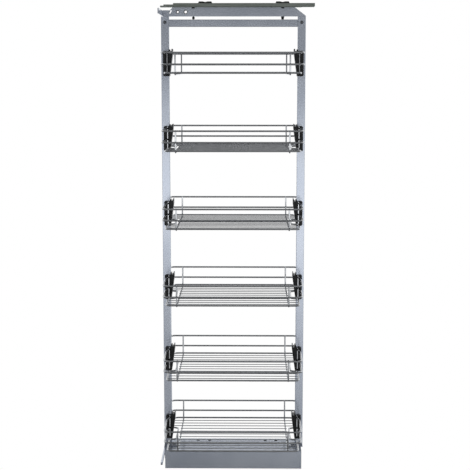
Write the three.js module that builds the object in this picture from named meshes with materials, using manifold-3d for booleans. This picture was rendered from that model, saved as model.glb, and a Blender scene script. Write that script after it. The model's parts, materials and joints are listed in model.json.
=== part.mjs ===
// Pull-out larder unit for a tall kitchen cabinet: six wire baskets clipped to a frame of two posts,
// which runs out on ball slides in a floor tray and under the cabinet's top.
// Millimetres, +Z up. The unit pulls out towards -X. The origin is the middle of the tray's underside.

import * as THREE from 'three';
import { mergeVertices } from 'three/addons/utils/BufferGeometryUtils.js';
import Module from 'manifold-3d';

const wasm = await Module();
wasm.setup();

// ---------------------------------------------------------------- driving dimensions

const GAP = 0.3; // between parts that touch
const SHEET = 2; // folded steel sheet
const OVERCUT = 1; // how far a cutting shape runs past a face

// Posts: painted rectangular tube.
const FRAME_LENGTH = 500; // over the posts
const POST_WIDTH = 28;
const POST_DEPTH = 19;
const POST_WALL = 1.5;

// Floor tray: a channel with lips turned in over the slides. Its ends lie inside the posts' outer faces.
const TRAY_INSET = 6.5;
const TRAY_WIDTH = 144;
const TRAY_HEIGHT = 65;
const GROOVE_INNER = 30; // half width of the moving beam's top, seen between the lips
const GROOVE_WIDTH = 4;
const ACCESS_HOLE = 9;
const ACCESS_HOLE_Y = 49;
const ACCESS_HOLES_X = [-130, -88, 118, 157];
const FLOOR_SCREW_INSET = { x: 60, y: 40 };
const FLOOR_SCREW = { shank: 4.5, head: 9, headHeight: 2.5 };

// Ball slides: three nested channels with two ball cages between them.
const SLIDE_HEIGHT = 45;
const SLIDE_THICKNESS = 1.2;
const SLIDE_DEPTH = 13.4; // across the whole stack of three channels
const SLIDE_LIP = 11.7; // flange of the widest channel
const MID_WEB_DEPTH = 4.5; // from the stack's back to the middle channel's web
const BALL = 3;
const BALL_DEPTH = { outer: 8.2, inner: 8.9 };
const BALLS_PER_ROW = 3;
const CAGE_THICKNESS = 0.8;
const CAGE_PAST_BALLS = { outer: 2, inner: 1 }; // how far a cage's flanges run past its balls' centres
const CAGE_LENGTH = 240;
const TRAY_SLIDE_BOTTOM = 12;

// Beam that runs between the slides and carries the posts.
const BEAM_BOTTOM = 20;
const BEAM_RIM = 25; // upturned edge that the inner slide channels are fixed to
const END_TAB = 3;

// Feet that the posts stand on, bolted to the beam.
const FOOT = { length: 53, width: 50, thickness: 3, spigot: 28, boltX: 36 };
const FOOT_BOLT = { shank: 8, head: 15, headHeight: 4.5, length: 12 };

// Head: telescopic legs in the posts, a folded plate over them, the top slide on the plate.
const HEAD_BOTTOM = 1596;
const HEAD_HEIGHT = 31;
const HEAD_INSET = 7; // from the front post's outer face
const HEAD_NOSE = { height: 21, length: 24, slope: 10 };
const HEAD_CHAMFER = { length: 38, height: 29 };
const HEAD_HOLES = [{ inset: 51, diameter: 8 }, { inset: 78.5, diameter: 10 }]; // from the plate's front end
const HEAD_SLOT = { inset: 26, width: 5.5, length: 13, lean: 0.5 };
const HEAD_HOLE_DROP = 15.5;
const LEG_LENGTH = 210;
const CROSS_BAR = { height: 25, depth: 15, wall: 1.5, drop: 10.3 };
const SET_SCREW = { shank: 6, head: 11, headHeight: 3, below: 20 };
const BALL_STUD = { inset: 105, shank: 5, ball: 9.4, reach: 9.8 };
const CONE_STUD = { inset: 80, shank: 5, cone: 12, tip: 4, reach: 9.8 }; // inset from the rear end

// Front ends of the top slide's channels, from the front post's outer face: forward is positive.
const TOP_SLIDE_PAST = { inner: 2, mid: -10, cabinet: -43 };
const BLOCK_INSET = { front: 110, rear: 110.6 }; // from the ends of the cabinet channel
const BLOCK = { length: 49, width: 22, height: 6, lobe: 16, dip: 2, slant: 3 };

// Door brackets: bars across the front of the frame, top and bottom.
const DOOR_BAR_REACH = 200;
const TOP_BAR = { thickness: 3.7, height: 18, above: 2 }; // over the head plate's underside
const BOTTOM_BAR = { thickness: 6.2, height: 9, below: 0.5, plate: 3.7, bolt: 18 }; // from the beam's top
const DOOR_SCREW_HOLE = { diameter: 5.5, inset: 16 };
const BRACKET_BOLT = { shank: 6, head: 11, headHeight: 2.5, tip: 1 }; // countersunk

// Baskets, from the top down: spread evenly between the head and the feet, each clamped a little off that.
const TOP_RIM_BELOW_HEAD = 125.3;
const LAST_RIM_ABOVE_FOOT = 105.2;
const BASKET_SHIFTS = [0, 0.2, -3.1, -6.5, -8.7, 0];
const BASKET_INSET = 13; // from the posts' outer faces to the rims' ends
const BASKET_HALF_WIDTH = 198;
const BASKET_DEPTH = 67;
const MID_RIM_DROP = 38.5;
const CORNER = 18;
const RIM_WIRE = 6;
const FLOOR_WIRE = 3.6;
const HOOP_WIRE = 5.5;
const WIRE_SIDES = 4; // facets round each wire
const HOOP_INSET = 46; // from the rims' ends
const HOOP_CORNER = 8;
const WELD = 1; // how deep welded wires sink into each other
const FLOOR_WIRES = 11;
const FLOOR_INSET = 10; // of the floor's frame, from the rims' ends
const NOTCH = { depth: 34, halfWidth: 62, slope: 14 }; // depth from the rims' ends
const LEG_INSET = 8; // from the rims' ends
const LEG_WIRE = 6;
const LEG_ABOVE_RIM = 8;
const LEG_BELOW_FLOOR = 6.4;
const RIM_BEND = 50; // where the rims' ends start to draw in to the legs

// Basket clips: black moulded wedges round the posts, grooved for the basket's legs. Two lips stand
// on each wedge with an open pocket between them.
const CLIP = {
  above: 7.6,
  below: 12,
  length: 21, // from the post's inner face outwards
  arm: 10.5,
  wall: 3.4, // between the post's slot and a leg's groove
  wedgeTop: 12.5,
  wedgeBottom: 1.5,
  upright: 9, // height of the wedge's upright face, over the taper
  innerLip: { thickness: 3, height: 5.4 },
  outerLip: { thickness: 4, height: 7.4 },
  groove: 8.4,
};

// ---------------------------------------------------------------- finishes

const FINISHES = {
  paint: { color: 0x9ea6b4, roughness: 0.45, metalness: 0.3 },
  zinc: { color: 0x8d948d, roughness: 0.4, metalness: 0.8 },
  chrome: { color: 0xc9ccd0, roughness: 0.12, metalness: 1 },
  plastic: { color: 0x141518, roughness: 0.5, metalness: 0 },
  steel: { color: 0xb4b7ba, roughness: 0.3, metalness: 0.9 },
};

const unit = new THREE.Group();

function addMesh(name, geometry, finish, parent = unit) {
  const mesh = new THREE.Mesh(geometry, new THREE.MeshStandardMaterial(FINISHES[finish]));
  mesh.name = name;
  parent.add(mesh);
  return mesh;
}

// ---------------------------------------------------------------- shape helpers

function toSolid(geometry) {
  const bare = geometry.clone();
  bare.deleteAttribute('normal');
  bare.deleteAttribute('uv');
  const merged = mergeVertices(bare);
  const mesh = new wasm.Mesh({
    numProp: 3,
    vertProperties: new Float32Array(merged.attributes.position.array),
    triVerts: new Uint32Array(merged.index.array),
  });
  return new wasm.Manifold(mesh);
}

function toGeometry(solid) {
  const mesh = solid.getMesh();
  const geometry = new THREE.BufferGeometry();
  geometry.setAttribute('position', new THREE.BufferAttribute(mesh.vertProperties, 3));
  geometry.setIndex(new THREE.BufferAttribute(mesh.triVerts, 1));
  geometry.computeVertexNormals();
  return geometry;
}

function join(geometries) {
  return geometries.map(toSolid).reduce((whole, piece) => whole.add(piece));
}

function cut(base, tools) {
  return tools.map(toSolid).reduce((whole, tool) => whole.subtract(tool), base);
}

function box([x0, x1], [y0, y1], [z0, z1]) {
  const geometry = new THREE.BoxGeometry(x1 - x0, y1 - y0, z1 - z0);
  return geometry.translate((x0 + x1) / 2, (y0 + y1) / 2, (z0 + z1) / 2);
}

// Extrudes an outline: (y, z) points along X, (x, z) points along Y, or (x, y) points along Z.
function extrude(points, axis, start, end, hole = null) {
  const shape = new THREE.Shape(points.map(([u, v]) => new THREE.Vector2(u, v)));
  if (hole) shape.holes.push(new THREE.Path(hole.map(([u, v]) => new THREE.Vector2(u, v))));
  const geometry = new THREE.ExtrudeGeometry(shape, { depth: end - start, bevelEnabled: false });
  const x = new THREE.Vector3(1, 0, 0);
  const y = new THREE.Vector3(0, 1, 0);
  const z = new THREE.Vector3(0, 0, 1);
  if (axis === 'x') {
    geometry.applyMatrix4(new THREE.Matrix4().makeBasis(y, z, x));
    return geometry.translate(start, 0, 0);
  }
  if (axis === 'y') {
    geometry.applyMatrix4(new THREE.Matrix4().makeBasis(x, z, y.clone().negate()));
    return geometry.translate(0, end, 0);
  }
  return geometry.translate(0, 0, start);
}

function rectangle(halfX, halfY) {
  return [[-halfX, -halfY], [halfX, -halfY], [halfX, halfY], [-halfX, halfY]];
}

// A rod with its length along +Z from the origin, turned to point along the given direction.
function rod(diameter, length, at, direction, sides = 12) {
  const geometry = new THREE.CylinderGeometry(diameter / 2, diameter / 2, length, sides);
  geometry.translate(0, length / 2, 0);
  return place(geometry, at, direction);
}

// Turns a shape whose axis is +Y to a direction and moves its base to a point.
function place(geometry, at, direction) {
  const turn = new THREE.Quaternion();
  turn.setFromUnitVectors(new THREE.Vector3(0, 1, 0), new THREE.Vector3(...direction).normalize());
  return geometry.applyQuaternion(turn).translate(...at);
}

// A turned part: (radius, height) points along an axis.
function turned(profile, at, direction, sides = 9) {
  const points = profile.map(([radius, height]) => new THREE.Vector2(radius, height));
  return place(new THREE.LatheGeometry(points, sides), at, direction);
}

// Bolt with its head standing on a face and its shank going in, opposite to the outward direction.
function bolt({ shank, head, headHeight }, length, at, outward) {
  const profile = [
    [0, -length],
    [shank / 2, -length],
    [shank / 2, 0],
    [head / 2, 0],
    [head / 2, headHeight * 0.5],
    [head * 0.32, headHeight],
    [0, headHeight],
  ];
  return turned(profile, at, outward);
}

// Countersunk bolt: the flat face of its head lies at the point, its cone and shank go in.
function countersunkBolt({ shank, head, headHeight }, length, at, outward) {
  const cone = [[shank / 2, -headHeight], [head / 2, 0]];
  return turned([[0, -length], [shank / 2, -length], ...cone, [0, 0]], at, outward);
}

// Cuts the hole and the seat for a countersunk bolt whose head lies a gap inside the face at the point.
function countersink({ shank, head }, depth, at, outward) {
  const rim = head / 2 + GAP * (1 + Math.SQRT2);
  const hole = shank / 2 + GAP;
  const seat = [[hole, hole - rim], [rim + OVERCUT, OVERCUT]];
  return turned([[0, -depth], [hole, -depth], ...seat, [0, OVERCUT]], at, outward);
}

// A bent wire through a list of points, mitred at each bend. Its facets enclose the round wire's area.
function wire(points, diameter, sides, closed = false) {
  const radius = (diameter / 2) * Math.sqrt((2 * Math.PI) / (sides * Math.sin((2 * Math.PI) / sides)));
  const path = points.map((point) => new THREE.Vector3(...point));
  const count = path.length;
  const legs = closed ? count : count - 1;
  const directions = [];
  for (let i = 0; i < legs; i += 1) {
    directions.push(path[(i + 1) % count].clone().sub(path[i]).normalize());
  }
  let side = new THREE.Vector3(0, 0, 1);
  if (Math.abs(directions[0].z) > 0.9) side = new THREE.Vector3(0, 1, 0);
  side.addScaledVector(directions[0], -side.dot(directions[0])).normalize();
  const positions = [];
  for (let i = 0; i < count; i += 1) {
    const before = directions[closed ? (i - 1 + legs) % legs : Math.max(i - 1, 0)];
    const after = directions[closed ? i : Math.min(i, legs - 1)];
    const mitre = before.clone().add(after).normalize();
    const across = new THREE.Vector3().crossVectors(before, side);
    for (let k = 0; k < sides; k += 1) {
      const angle = (2 * Math.PI * (k + 0.5)) / sides;
      const spoke = side.clone().multiplyScalar(Math.cos(angle)).addScaledVector(across, Math.sin(angle));
      spoke.multiplyScalar(radius);
      spoke.addScaledVector(before, -spoke.dot(mitre) / before.dot(mitre));
      positions.push(...path[i].clone().add(spoke).toArray());
    }
    side.addScaledVector(after, -side.dot(after)).normalize();
  }
  const faces = [];
  const rings = closed ? count : count - 1;
  for (let i = 0; i < rings; i += 1) {
    const here = i * sides;
    const next = ((i + 1) % count) * sides;
    for (let k = 0; k < sides; k += 1) {
      const l = (k + 1) % sides;
      faces.push(here + k, here + l, next + l, here + k, next + l, next + k);
    }
  }
  if (!closed) {
    const last = (count - 1) * sides;
    for (let k = 1; k < sides - 1; k += 1) {
      faces.push(0, k + 1, k, last, last + k, last + k + 1);
    }
  }
  const geometry = new THREE.BufferGeometry();
  geometry.setAttribute('position', new THREE.Float32BufferAttribute(positions, 3));
  geometry.setIndex(faces);
  return geometry;
}

const mirrorY = (points) => points.map(([y, z]) => [-y, z]).reverse();

// ---------------------------------------------------------------- ball slides

const halfFrame = FRAME_LENGTH / 2;
const trayLength = FRAME_LENGTH - 2 * TRAY_INSET; // the slides are as long as the tray

// The slide's section is drawn as (depth from the fixed face, height from the slide's middle).
// Each channel is nested in the last, with a row of balls between them above and below.
const half = SLIDE_HEIGHT / 2;
const ballPitch = BALL + 2 * GAP;
const outerInside = half - SLIDE_THICKNESS;
const midHalf = outerInside - ballPitch;
const midInside = midHalf - SLIDE_THICKNESS;
const innerHalf = midInside - ballPitch;
const midWeb = [MID_WEB_DEPTH, MID_WEB_DEPTH + SLIDE_THICKNESS];
const innerTip = BALL_DEPTH.inner - BALL / 3;

function channel(web, tip, outside) {
  const [a, b] = web;
  const inside = outside - SLIDE_THICKNESS;
  const away = tip > a;
  const wall = away ? b : a;
  const back = away ? a : b;
  return [
    [back, -outside],
    [tip, -outside],
    [tip, -inside],
    [wall, -inside],
    [wall, inside],
    [tip, inside],
    [tip, outside],
    [back, outside],
  ];
}

const SLIDE_SECTIONS = {
  outer: channel([0, SLIDE_THICKNESS], SLIDE_LIP, half),
  mid: channel(midWeb, SLIDE_LIP, midHalf),
  inner: channel([SLIDE_DEPTH - SLIDE_THICKNESS, SLIDE_DEPTH], innerTip, innerHalf),
};

// A cage is a thin channel too: its web lies midway between its neighbours, and its flanges carry the balls.
function cageSection(under, over, tip, row) {
  const arm = CAGE_THICKNESS / 2;
  const web = (under + over) / 2 - arm;
  return [
    [web, -row - arm],
    [tip, -row - arm],
    [tip, -row + arm],
    [web + CAGE_THICKNESS, -row + arm],
    [web + CAGE_THICKNESS, row - arm],
    [tip, row - arm],
    [tip, row + arm],
    [web, row + arm],
  ];
}

const rowOuter = outerInside - ballPitch / 2;
const rowInner = midInside - ballPitch / 2;
const cageTip = {
  outer: BALL_DEPTH.outer + CAGE_PAST_BALLS.outer,
  inner: BALL_DEPTH.inner + CAGE_PAST_BALLS.inner,
};
const CAGES = {
  outer: {
    section: cageSection(SLIDE_THICKNESS, midWeb[0], cageTip.outer, rowOuter),
    row: rowOuter,
    depth: BALL_DEPTH.outer,
  },
  inner: {
    section: cageSection(midWeb[1], innerTip, cageTip.inner, rowInner),
    row: rowInner,
    depth: BALL_DEPTH.inner,
  },
};

// Puts a slide's section in the unit: `toYZ` turns (depth, height) into (y, z).
function slideChannel(section, toYZ, front, length = trayLength) {
  const points = section.map(toYZ);
  const clockwise = THREE.ShapeUtils.isClockWise(points.map(([u, v]) => new THREE.Vector2(u, v)));
  if (clockwise) points.reverse();
  return extrude(points, 'x', front, front + length);
}

function slideCage(cage, toYZ, middle) {
  const front = middle - CAGE_LENGTH / 2;
  const pieces = [slideChannel(cage.section, toYZ, front, CAGE_LENGTH)];
  const pitch = CAGE_LENGTH / BALLS_PER_ROW;
  for (let i = 0; i < BALLS_PER_ROW; i += 1) {
    for (const row of [-cage.row, cage.row]) {
      const [y, z] = toYZ([cage.depth, row]);
      pieces.push(new THREE.SphereGeometry(BALL / 2, 6, 3).translate(front + pitch * (i + 0.5), y, z));
    }
  }
  return toGeometry(join(pieces));
}

// ---------------------------------------------------------------- floor tray and its slides

const halfTray = trayLength / 2;
const halfWidth = TRAY_WIDTH / 2;
const lipEdge = GROOVE_INNER + GROOVE_WIDTH;

function baseTray() {
  const wall = halfWidth - SHEET;
  const under = TRAY_HEIGHT - SHEET;
  const right = [
    [halfWidth, TRAY_HEIGHT],
    [lipEdge, TRAY_HEIGHT],
    [lipEdge, under],
    [wall, under],
    [wall, SHEET],
  ];
  const outline = [[-halfWidth, 0], [halfWidth, 0], ...right, ...mirrorY(right)];
  const folded = toSolid(extrude(outline, 'x', -halfTray, halfTray));
  const lipHole = (x) => rod(ACCESS_HOLE, 3 * SHEET, [x, ACCESS_HOLE_Y, under - SHEET], [0, 0, 1]);
  const holes = ACCESS_HOLES_X.map(lipHole);
  for (const [x, y] of floorScrewPlaces()) {
    holes.push(rod(FLOOR_SCREW.shank + 2 * GAP, 3 * SHEET, [x, y, -SHEET], [0, 0, 1], 8));
  }
  return toGeometry(cut(folded, holes));
}

function floorScrewPlaces() {
  const x = halfTray - FLOOR_SCREW_INSET.x;
  const { y } = FLOOR_SCREW_INSET;
  return [[-x, -y], [-x, y], [x, -y], [x, y]];
}

const slideMiddle = TRAY_SLIDE_BOTTOM + half;

function trayToYZ(sign) {
  const back = halfWidth - SHEET - GAP;
  return ([depth, height]) => [sign * (back - depth), slideMiddle + height];
}

addMesh('base_tray', baseTray(), 'paint');
floorScrewPlaces().forEach(([x, y], i) => {
  const seat = [x, y, SHEET + GAP];
  addMesh(`floor_screw_${i + 1}`, bolt(FLOOR_SCREW, SHEET, seat, [0, 0, 1]), 'steel');
});

for (const [side, sign] of [['near', -1], ['far', 1]]) {
  const toYZ = trayToYZ(sign);
  addMesh(`base_rail_${side}`, slideChannel(SLIDE_SECTIONS.outer, toYZ, -halfTray), 'zinc');
  addMesh(`base_cage_outer_${side}`, slideCage(CAGES.outer, toYZ, 0), 'steel');
  addMesh(`base_mid_${side}`, slideChannel(SLIDE_SECTIONS.mid, toYZ, -halfTray), 'zinc');
  addMesh(`base_cage_inner_${side}`, slideCage(CAGES.inner, toYZ, 0), 'steel');
  addMesh(`base_inner_${side}`, slideChannel(SLIDE_SECTIONS.inner, toYZ, -halfTray), 'zinc');
}

// ---------------------------------------------------------------- moving frame

const frame = new THREE.Group();
unit.add(frame);

const beamRimOut = halfWidth - SHEET - GAP - SLIDE_DEPTH - GAP;
const postX = halfFrame - POST_WIDTH / 2;
const footTop = TRAY_HEIGHT + GAP + FOOT.thickness;
const bottomBarTop = TRAY_HEIGHT - BOTTOM_BAR.below;
const bottomBoltZ = bottomBarTop - BOTTOM_BAR.bolt;

function baseBeam() {
  const side = GROOVE_INNER;
  const shoulder = BEAM_BOTTOM + SHEET;
  const right = [
    [side - SHEET, TRAY_HEIGHT - SHEET],
    [side - SHEET, BEAM_BOTTOM],
    [beamRimOut, BEAM_BOTTOM],
    [beamRimOut, BEAM_BOTTOM + BEAM_RIM],
    [beamRimOut - SHEET, BEAM_BOTTOM + BEAM_RIM],
    [beamRimOut - SHEET, shoulder],
    [side, shoulder],
    [side, TRAY_HEIGHT],
  ];
  const outline = [...right, ...mirrorY(right)];
  const tab = box([-halfTray, END_TAB - halfTray], [-side, side], [BEAM_BOTTOM, TRAY_HEIGHT]);
  const folded = join([extrude(outline, 'x', -halfTray, halfTray), tab]);
  const holes = [-1, 1].map((end) => {
    const at = [end * (halfFrame - FOOT.boltX), 0, TRAY_HEIGHT - 2 * SHEET];
    return rod(FOOT_BOLT.shank + 2 * GAP, 4 * SHEET, at, [0, 0, 1]);
  });
  const through = [-halfTray - SHEET, 0, bottomBoltZ];
  holes.push(rod(BRACKET_BOLT.shank + 2 * GAP, END_TAB + 2 * SHEET, through, [1, 0, 0]));
  return toGeometry(cut(folded, holes));
}

function postFoot(end) {
  const outer = end * halfFrame;
  const inner = end * (halfFrame - FOOT.length);
  const bottom = TRAY_HEIGHT + GAP;
  const reach = [Math.min(outer, inner), Math.max(outer, inner)];
  const plate = box(reach, [-FOOT.width / 2, FOOT.width / 2], [bottom, footTop]);
  const halfX = POST_WIDTH / 2 - POST_WALL - GAP;
  const halfY = POST_DEPTH / 2 - POST_WALL - GAP;
  const spigot = extrude(rectangle(halfX, halfY), 'z', bottom, footTop + FOOT.spigot);
  spigot.translate(end * postX, 0, 0);
  const under = [end * (halfFrame - FOOT.boltX), 0, bottom - SHEET];
  const hole = rod(FOOT_BOLT.shank + 2 * GAP, 4 * SHEET, under, [0, 0, 1]);
  return toGeometry(cut(join([plate, spigot]), [hole]));
}

const postBottom = footTop + GAP;
const postTop = HEAD_BOTTOM - GAP;
const setScrewZ = HEAD_BOTTOM - SET_SCREW.below;

function post(end) {
  const outline = rectangle(POST_WIDTH / 2, POST_DEPTH / 2);
  const inside = rectangle(POST_WIDTH / 2 - POST_WALL, POST_DEPTH / 2 - POST_WALL);
  const tube = extrude(outline, 'z', postBottom, postTop, inside.reverse()).translate(end * postX, 0, 0);
  const outside = [end * postX, -POST_DEPTH / 2 - POST_WALL, setScrewZ];
  const hole = rod(SET_SCREW.shank + 2 * GAP, POST_WALL * 3, outside, [0, 1, 0]);
  return toGeometry(cut(toSolid(tube), [hole]));
}

function crossBar() {
  const { height, depth, wall } = CROSS_BAR;
  const outline = rectangle(depth / 2, height / 2);
  const inside = rectangle(depth / 2 - wall, height / 2 - wall).reverse();
  const reach = halfFrame - POST_WIDTH - GAP;
  const middle = HEAD_BOTTOM - CROSS_BAR.drop - height / 2;
  return extrude(outline, 'x', -reach, reach, inside).translate(0, 0, middle);
}

addMesh('base_beam', baseBeam(), 'paint', frame);
for (const [name, end] of [['front', -1], ['rear', 1]]) {
  addMesh(`post_foot_${name}`, postFoot(end), 'paint', frame);
  const seat = [end * (halfFrame - FOOT.boltX), 0, footTop + GAP];
  addMesh(`foot_bolt_${name}`, bolt(FOOT_BOLT, FOOT_BOLT.length, seat, [0, 0, 1]), 'steel', frame);
  addMesh(`post_${name}`, post(end), 'paint', frame);
  const face = [end * postX, -POST_DEPTH / 2 - GAP, setScrewZ];
  addMesh(`set_screw_${name}`, bolt(SET_SCREW, POST_WALL + GAP, face, [0, -1, 0]), 'steel', frame);
}
addMesh('cross_bar', crossBar(), 'paint', frame);

// ---------------------------------------------------------------- basket clips

const topRim = HEAD_BOTTOM - TOP_RIM_BELOW_HEAD;
const lastRim = footTop + LAST_RIM_ABOVE_FOOT;
const rimSpacing = (topRim - lastRim) / (BASKET_SHIFTS.length - 1);
const rimHeights = BASKET_SHIFTS.map((shift, i) => topRim - rimSpacing * i + shift);

const postFace = halfFrame - POST_WIDTH;
const armOut = POST_DEPTH / 2 + GAP + CLIP.arm;
const basketHalfLength = halfFrame - BASKET_INSET;
const legX = basketHalfLength - LEG_INSET;
const legY = POST_DEPTH / 2 + GAP + CLIP.wall + GAP + LEG_WIRE / 2;

function clip(end, rim) {
  const { innerLip, outerLip } = CLIP;
  const top = rim + CLIP.above;
  const bottom = rim - BASKET_DEPTH - CLIP.below;
  const wedgeFace = postFace - CLIP.wedgeTop;
  const outline = [
    [postFace + CLIP.length, bottom],
    [postFace + CLIP.length, top],
    [postFace - GAP, top],
    [postFace - GAP, top + innerLip.height],
    [postFace - innerLip.thickness, top + innerLip.height],
    [postFace - innerLip.thickness, top],
    [wedgeFace + outerLip.thickness, top],
    [wedgeFace + outerLip.thickness, top + outerLip.height],
    [wedgeFace, top + outerLip.height],
    [wedgeFace, top - CLIP.upright],
    [postFace - CLIP.wedgeBottom, bottom],
  ].map(([x, z]) => [end * x, z]);
  if (end < 0) outline.reverse();
  const wedge = toSolid(extrude(outline, 'y', -armOut, armOut));
  const slotEnds = [end * (postFace - GAP), end * (halfFrame + 2 * GAP)].sort((a, b) => a - b);
  const slotHalf = POST_DEPTH / 2 + GAP;
  const tools = [box(slotEnds, [-slotHalf, slotHalf], [bottom - OVERCUT, top + OVERCUT])];
  const pocket = rim - BASKET_DEPTH - LEG_BELOW_FLOOR - GAP;
  const grooveX = [end * legX - CLIP.groove / 2, end * legX + CLIP.groove / 2];
  const grooveBack = legY - LEG_WIRE / 2 - GAP;
  for (const side of [-1, 1]) {
    const reach = [side * grooveBack, side * (armOut + OVERCUT)].sort((a, b) => a - b);
    tools.push(box(grooveX, reach, [pocket, top + OVERCUT]));
  }
  return toGeometry(cut(wedge, tools));
}

rimHeights.forEach((rim, i) => {
  addMesh(`clip_${i + 1}_front`, clip(-1, rim), 'plastic', frame);
  addMesh(`clip_${i + 1}_rear`, clip(1, rim), 'plastic', frame);
});

// ---------------------------------------------------------------- baskets

// One half of a rim: from the rear leg, round one long side, to the front leg.
function rimHalf(side, z) {
  const x = basketHalfLength;
  const y = BASKET_HALF_WIDTH;
  const slant = CORNER * (1 - Math.SQRT1_2);
  const quarter = [
    [legX, legY],
    [legX, armOut + RIM_WIRE],
    [x, armOut + RIM_BEND],
    [x, y - CORNER],
    [x - slant, y - slant],
    [x - CORNER, y],
  ];
  const back = quarter.map(([a, b]) => [-a, b]).reverse();
  return wire([...quarter, ...back].map(([a, b]) => [a, side * b, z]), RIM_WIRE, WIRE_SIDES);
}

function floorFrame(z) {
  const x = basketHalfLength - FLOOR_INSET;
  const y = BASKET_HALF_WIDTH;
  const slant = CORNER * (1 - Math.SQRT1_2);
  const quarter = [
    [basketHalfLength - NOTCH.depth, NOTCH.halfWidth],
    [x, NOTCH.halfWidth + NOTCH.slope],
    [x, y - CORNER],
    [x - slant, y - slant],
    [x - CORNER, y],
  ];
  const back = quarter.map(([a, b]) => [-a, b]).reverse();
  const upper = [...quarter, ...back];
  const lower = upper.map(([a, b]) => [-a, -b]);
  return wire([...upper, ...lower].map(([a, b]) => [a, b, z]), RIM_WIRE, WIRE_SIDES, true);
}

function hoop(x, rim) {
  const y = BASKET_HALF_WIDTH - (RIM_WIRE + HOOP_WIRE) / 2 + WELD;
  const bottom = rim - BASKET_DEPTH - (RIM_WIRE + HOOP_WIRE) / 2 + WELD;
  const quarter = [[y, rim], [y, bottom + HOOP_CORNER], [y - HOOP_CORNER, bottom]];
  const back = quarter.map(([b, z]) => [-b, z]).reverse();
  return wire([...quarter, ...back].map(([b, z]) => [x, b, z]), HOOP_WIRE, WIRE_SIDES);
}

function basket(rim) {
  const floor = rim - BASKET_DEPTH;
  const hoopX = basketHalfLength - HOOP_INSET;
  const wires = [];
  for (const side of [-1, 1]) {
    wires.push(rimHalf(side, rim), rimHalf(side, rim - MID_RIM_DROP), hoop(side * hoopX, rim));
    for (const end of [-1, 1]) {
      const at = [end * legX, side * legY];
      const leg = [[...at, floor - LEG_BELOW_FLOOR], [...at, rim + LEG_ABOVE_RIM]];
      wires.push(wire(leg, LEG_WIRE, WIRE_SIDES));
    }
  }
  wires.push(floorFrame(floor));
  const pitch = (2 * BASKET_HALF_WIDTH) / (FLOOR_WIRES + 1);
  const onHoops = floor - RIM_WIRE / 2 + FLOOR_WIRE / 2;
  for (let i = 1; i <= FLOOR_WIRES; i += 1) {
    const y = -BASKET_HALF_WIDTH + pitch * i;
    const besidePost = Math.abs(y) <= NOTCH.halfWidth + NOTCH.slope;
    const reach = besidePost ? hoopX + HOOP_WIRE / 2 : basketHalfLength - FLOOR_INSET - WELD;
    wires.push(wire([[-reach, y, onHoops], [reach, y, onHoops]], FLOOR_WIRE, WIRE_SIDES));
  }
  return toGeometry(join(wires));
}

rimHeights.forEach((rim, i) => addMesh(`basket_${i + 1}`, basket(rim), 'chrome', frame));

// ---------------------------------------------------------------- head and top slide

const head = new THREE.Group();
frame.add(head);

const headFront = halfFrame - HEAD_INSET;
const headTop = HEAD_BOTTOM + HEAD_HEIGHT;
const ballStudX = BALL_STUD.inset - headFront;
const coneStudX = halfFrame - CONE_STUD.inset;
const holeZ = headTop - HEAD_HOLE_DROP;
const topBarMiddle = HEAD_BOTTOM + TOP_BAR.above + TOP_BAR.height / 2;

function headPlate() {
  const nose = HEAD_BOTTOM + HEAD_NOSE.height;
  const outline = [
    [-headFront, HEAD_BOTTOM],
    [halfFrame, HEAD_BOTTOM],
    [halfFrame, headTop - HEAD_CHAMFER.height],
    [halfFrame - HEAD_CHAMFER.length, headTop],
    [-headFront + HEAD_NOSE.length + HEAD_NOSE.slope, headTop],
    [-headFront + HEAD_NOSE.length, nose],
    [-headFront, nose],
  ];
  const solid = toSolid(extrude(outline, 'y', -POST_DEPTH / 2, POST_DEPTH / 2));
  const inside = POST_DEPTH / 2 - POST_WALL;
  const floor = HEAD_BOTTOM + POST_WALL;
  const ceiling = headTop - POST_WALL;
  const hollow = [
    [-headFront + END_TAB, floor],
    [halfFrame - POST_WALL, floor],
    [halfFrame - HEAD_CHAMFER.length - POST_WALL, ceiling],
    [-headFront + HEAD_NOSE.length + HEAD_NOSE.slope, ceiling],
    [-headFront + HEAD_NOSE.length, nose - POST_WALL],
    [-headFront + END_TAB, nose - POST_WALL],
  ];
  const tools = [extrude(hollow, 'y', -inside, inside)];
  const before = -POST_DEPTH / 2 - OVERCUT;
  for (const { inset, diameter } of HEAD_HOLES) {
    const at = [inset - headFront, before, holeZ];
    tools.push(rod(diameter, POST_DEPTH + 2 * OVERCUT, at, [0, 1, 0]));
  }
  const slot = box(
    [-HEAD_SLOT.width / 2, HEAD_SLOT.width / 2],
    [before, -before],
    [-HEAD_SLOT.length / 2, HEAD_SLOT.length / 2],
  );
  tools.push(slot.rotateY(-HEAD_SLOT.lean).translate(HEAD_SLOT.inset - headFront, 0, holeZ));
  const through = [-headFront - SHEET, 0, topBarMiddle];
  tools.push(rod(BRACKET_BOLT.shank + 2 * GAP, END_TAB + 2 * SHEET, through, [1, 0, 0]));
  for (const [x, { shank }] of [[ballStudX, BALL_STUD], [coneStudX, CONE_STUD]]) {
    const at = [x, 0, HEAD_BOTTOM - OVERCUT];
    tools.push(rod(shank + 2 * GAP, HEAD_HEIGHT + 2 * OVERCUT, at, [0, 0, 1]));
  }
  return toGeometry(cut(solid, tools));
}

addMesh('head_plate', headPlate(), 'paint', head);

function headLeg(end) {
  const halfX = POST_WIDTH / 2 - POST_WALL - GAP;
  const halfY = POST_DEPTH / 2 - POST_WALL - GAP;
  const inside = rectangle(halfX - POST_WALL, halfY - POST_WALL).reverse();
  const outline = rectangle(halfX, halfY);
  const tube = extrude(outline, 'z', HEAD_BOTTOM - LEG_LENGTH, HEAD_BOTTOM - GAP, inside);
  return tube.translate(end * postX, 0, 0);
}

addMesh('head_leg_front', headLeg(-1), 'steel', head);
addMesh('head_leg_rear', headLeg(1), 'steel', head);

const studTop = headTop - GAP;

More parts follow.
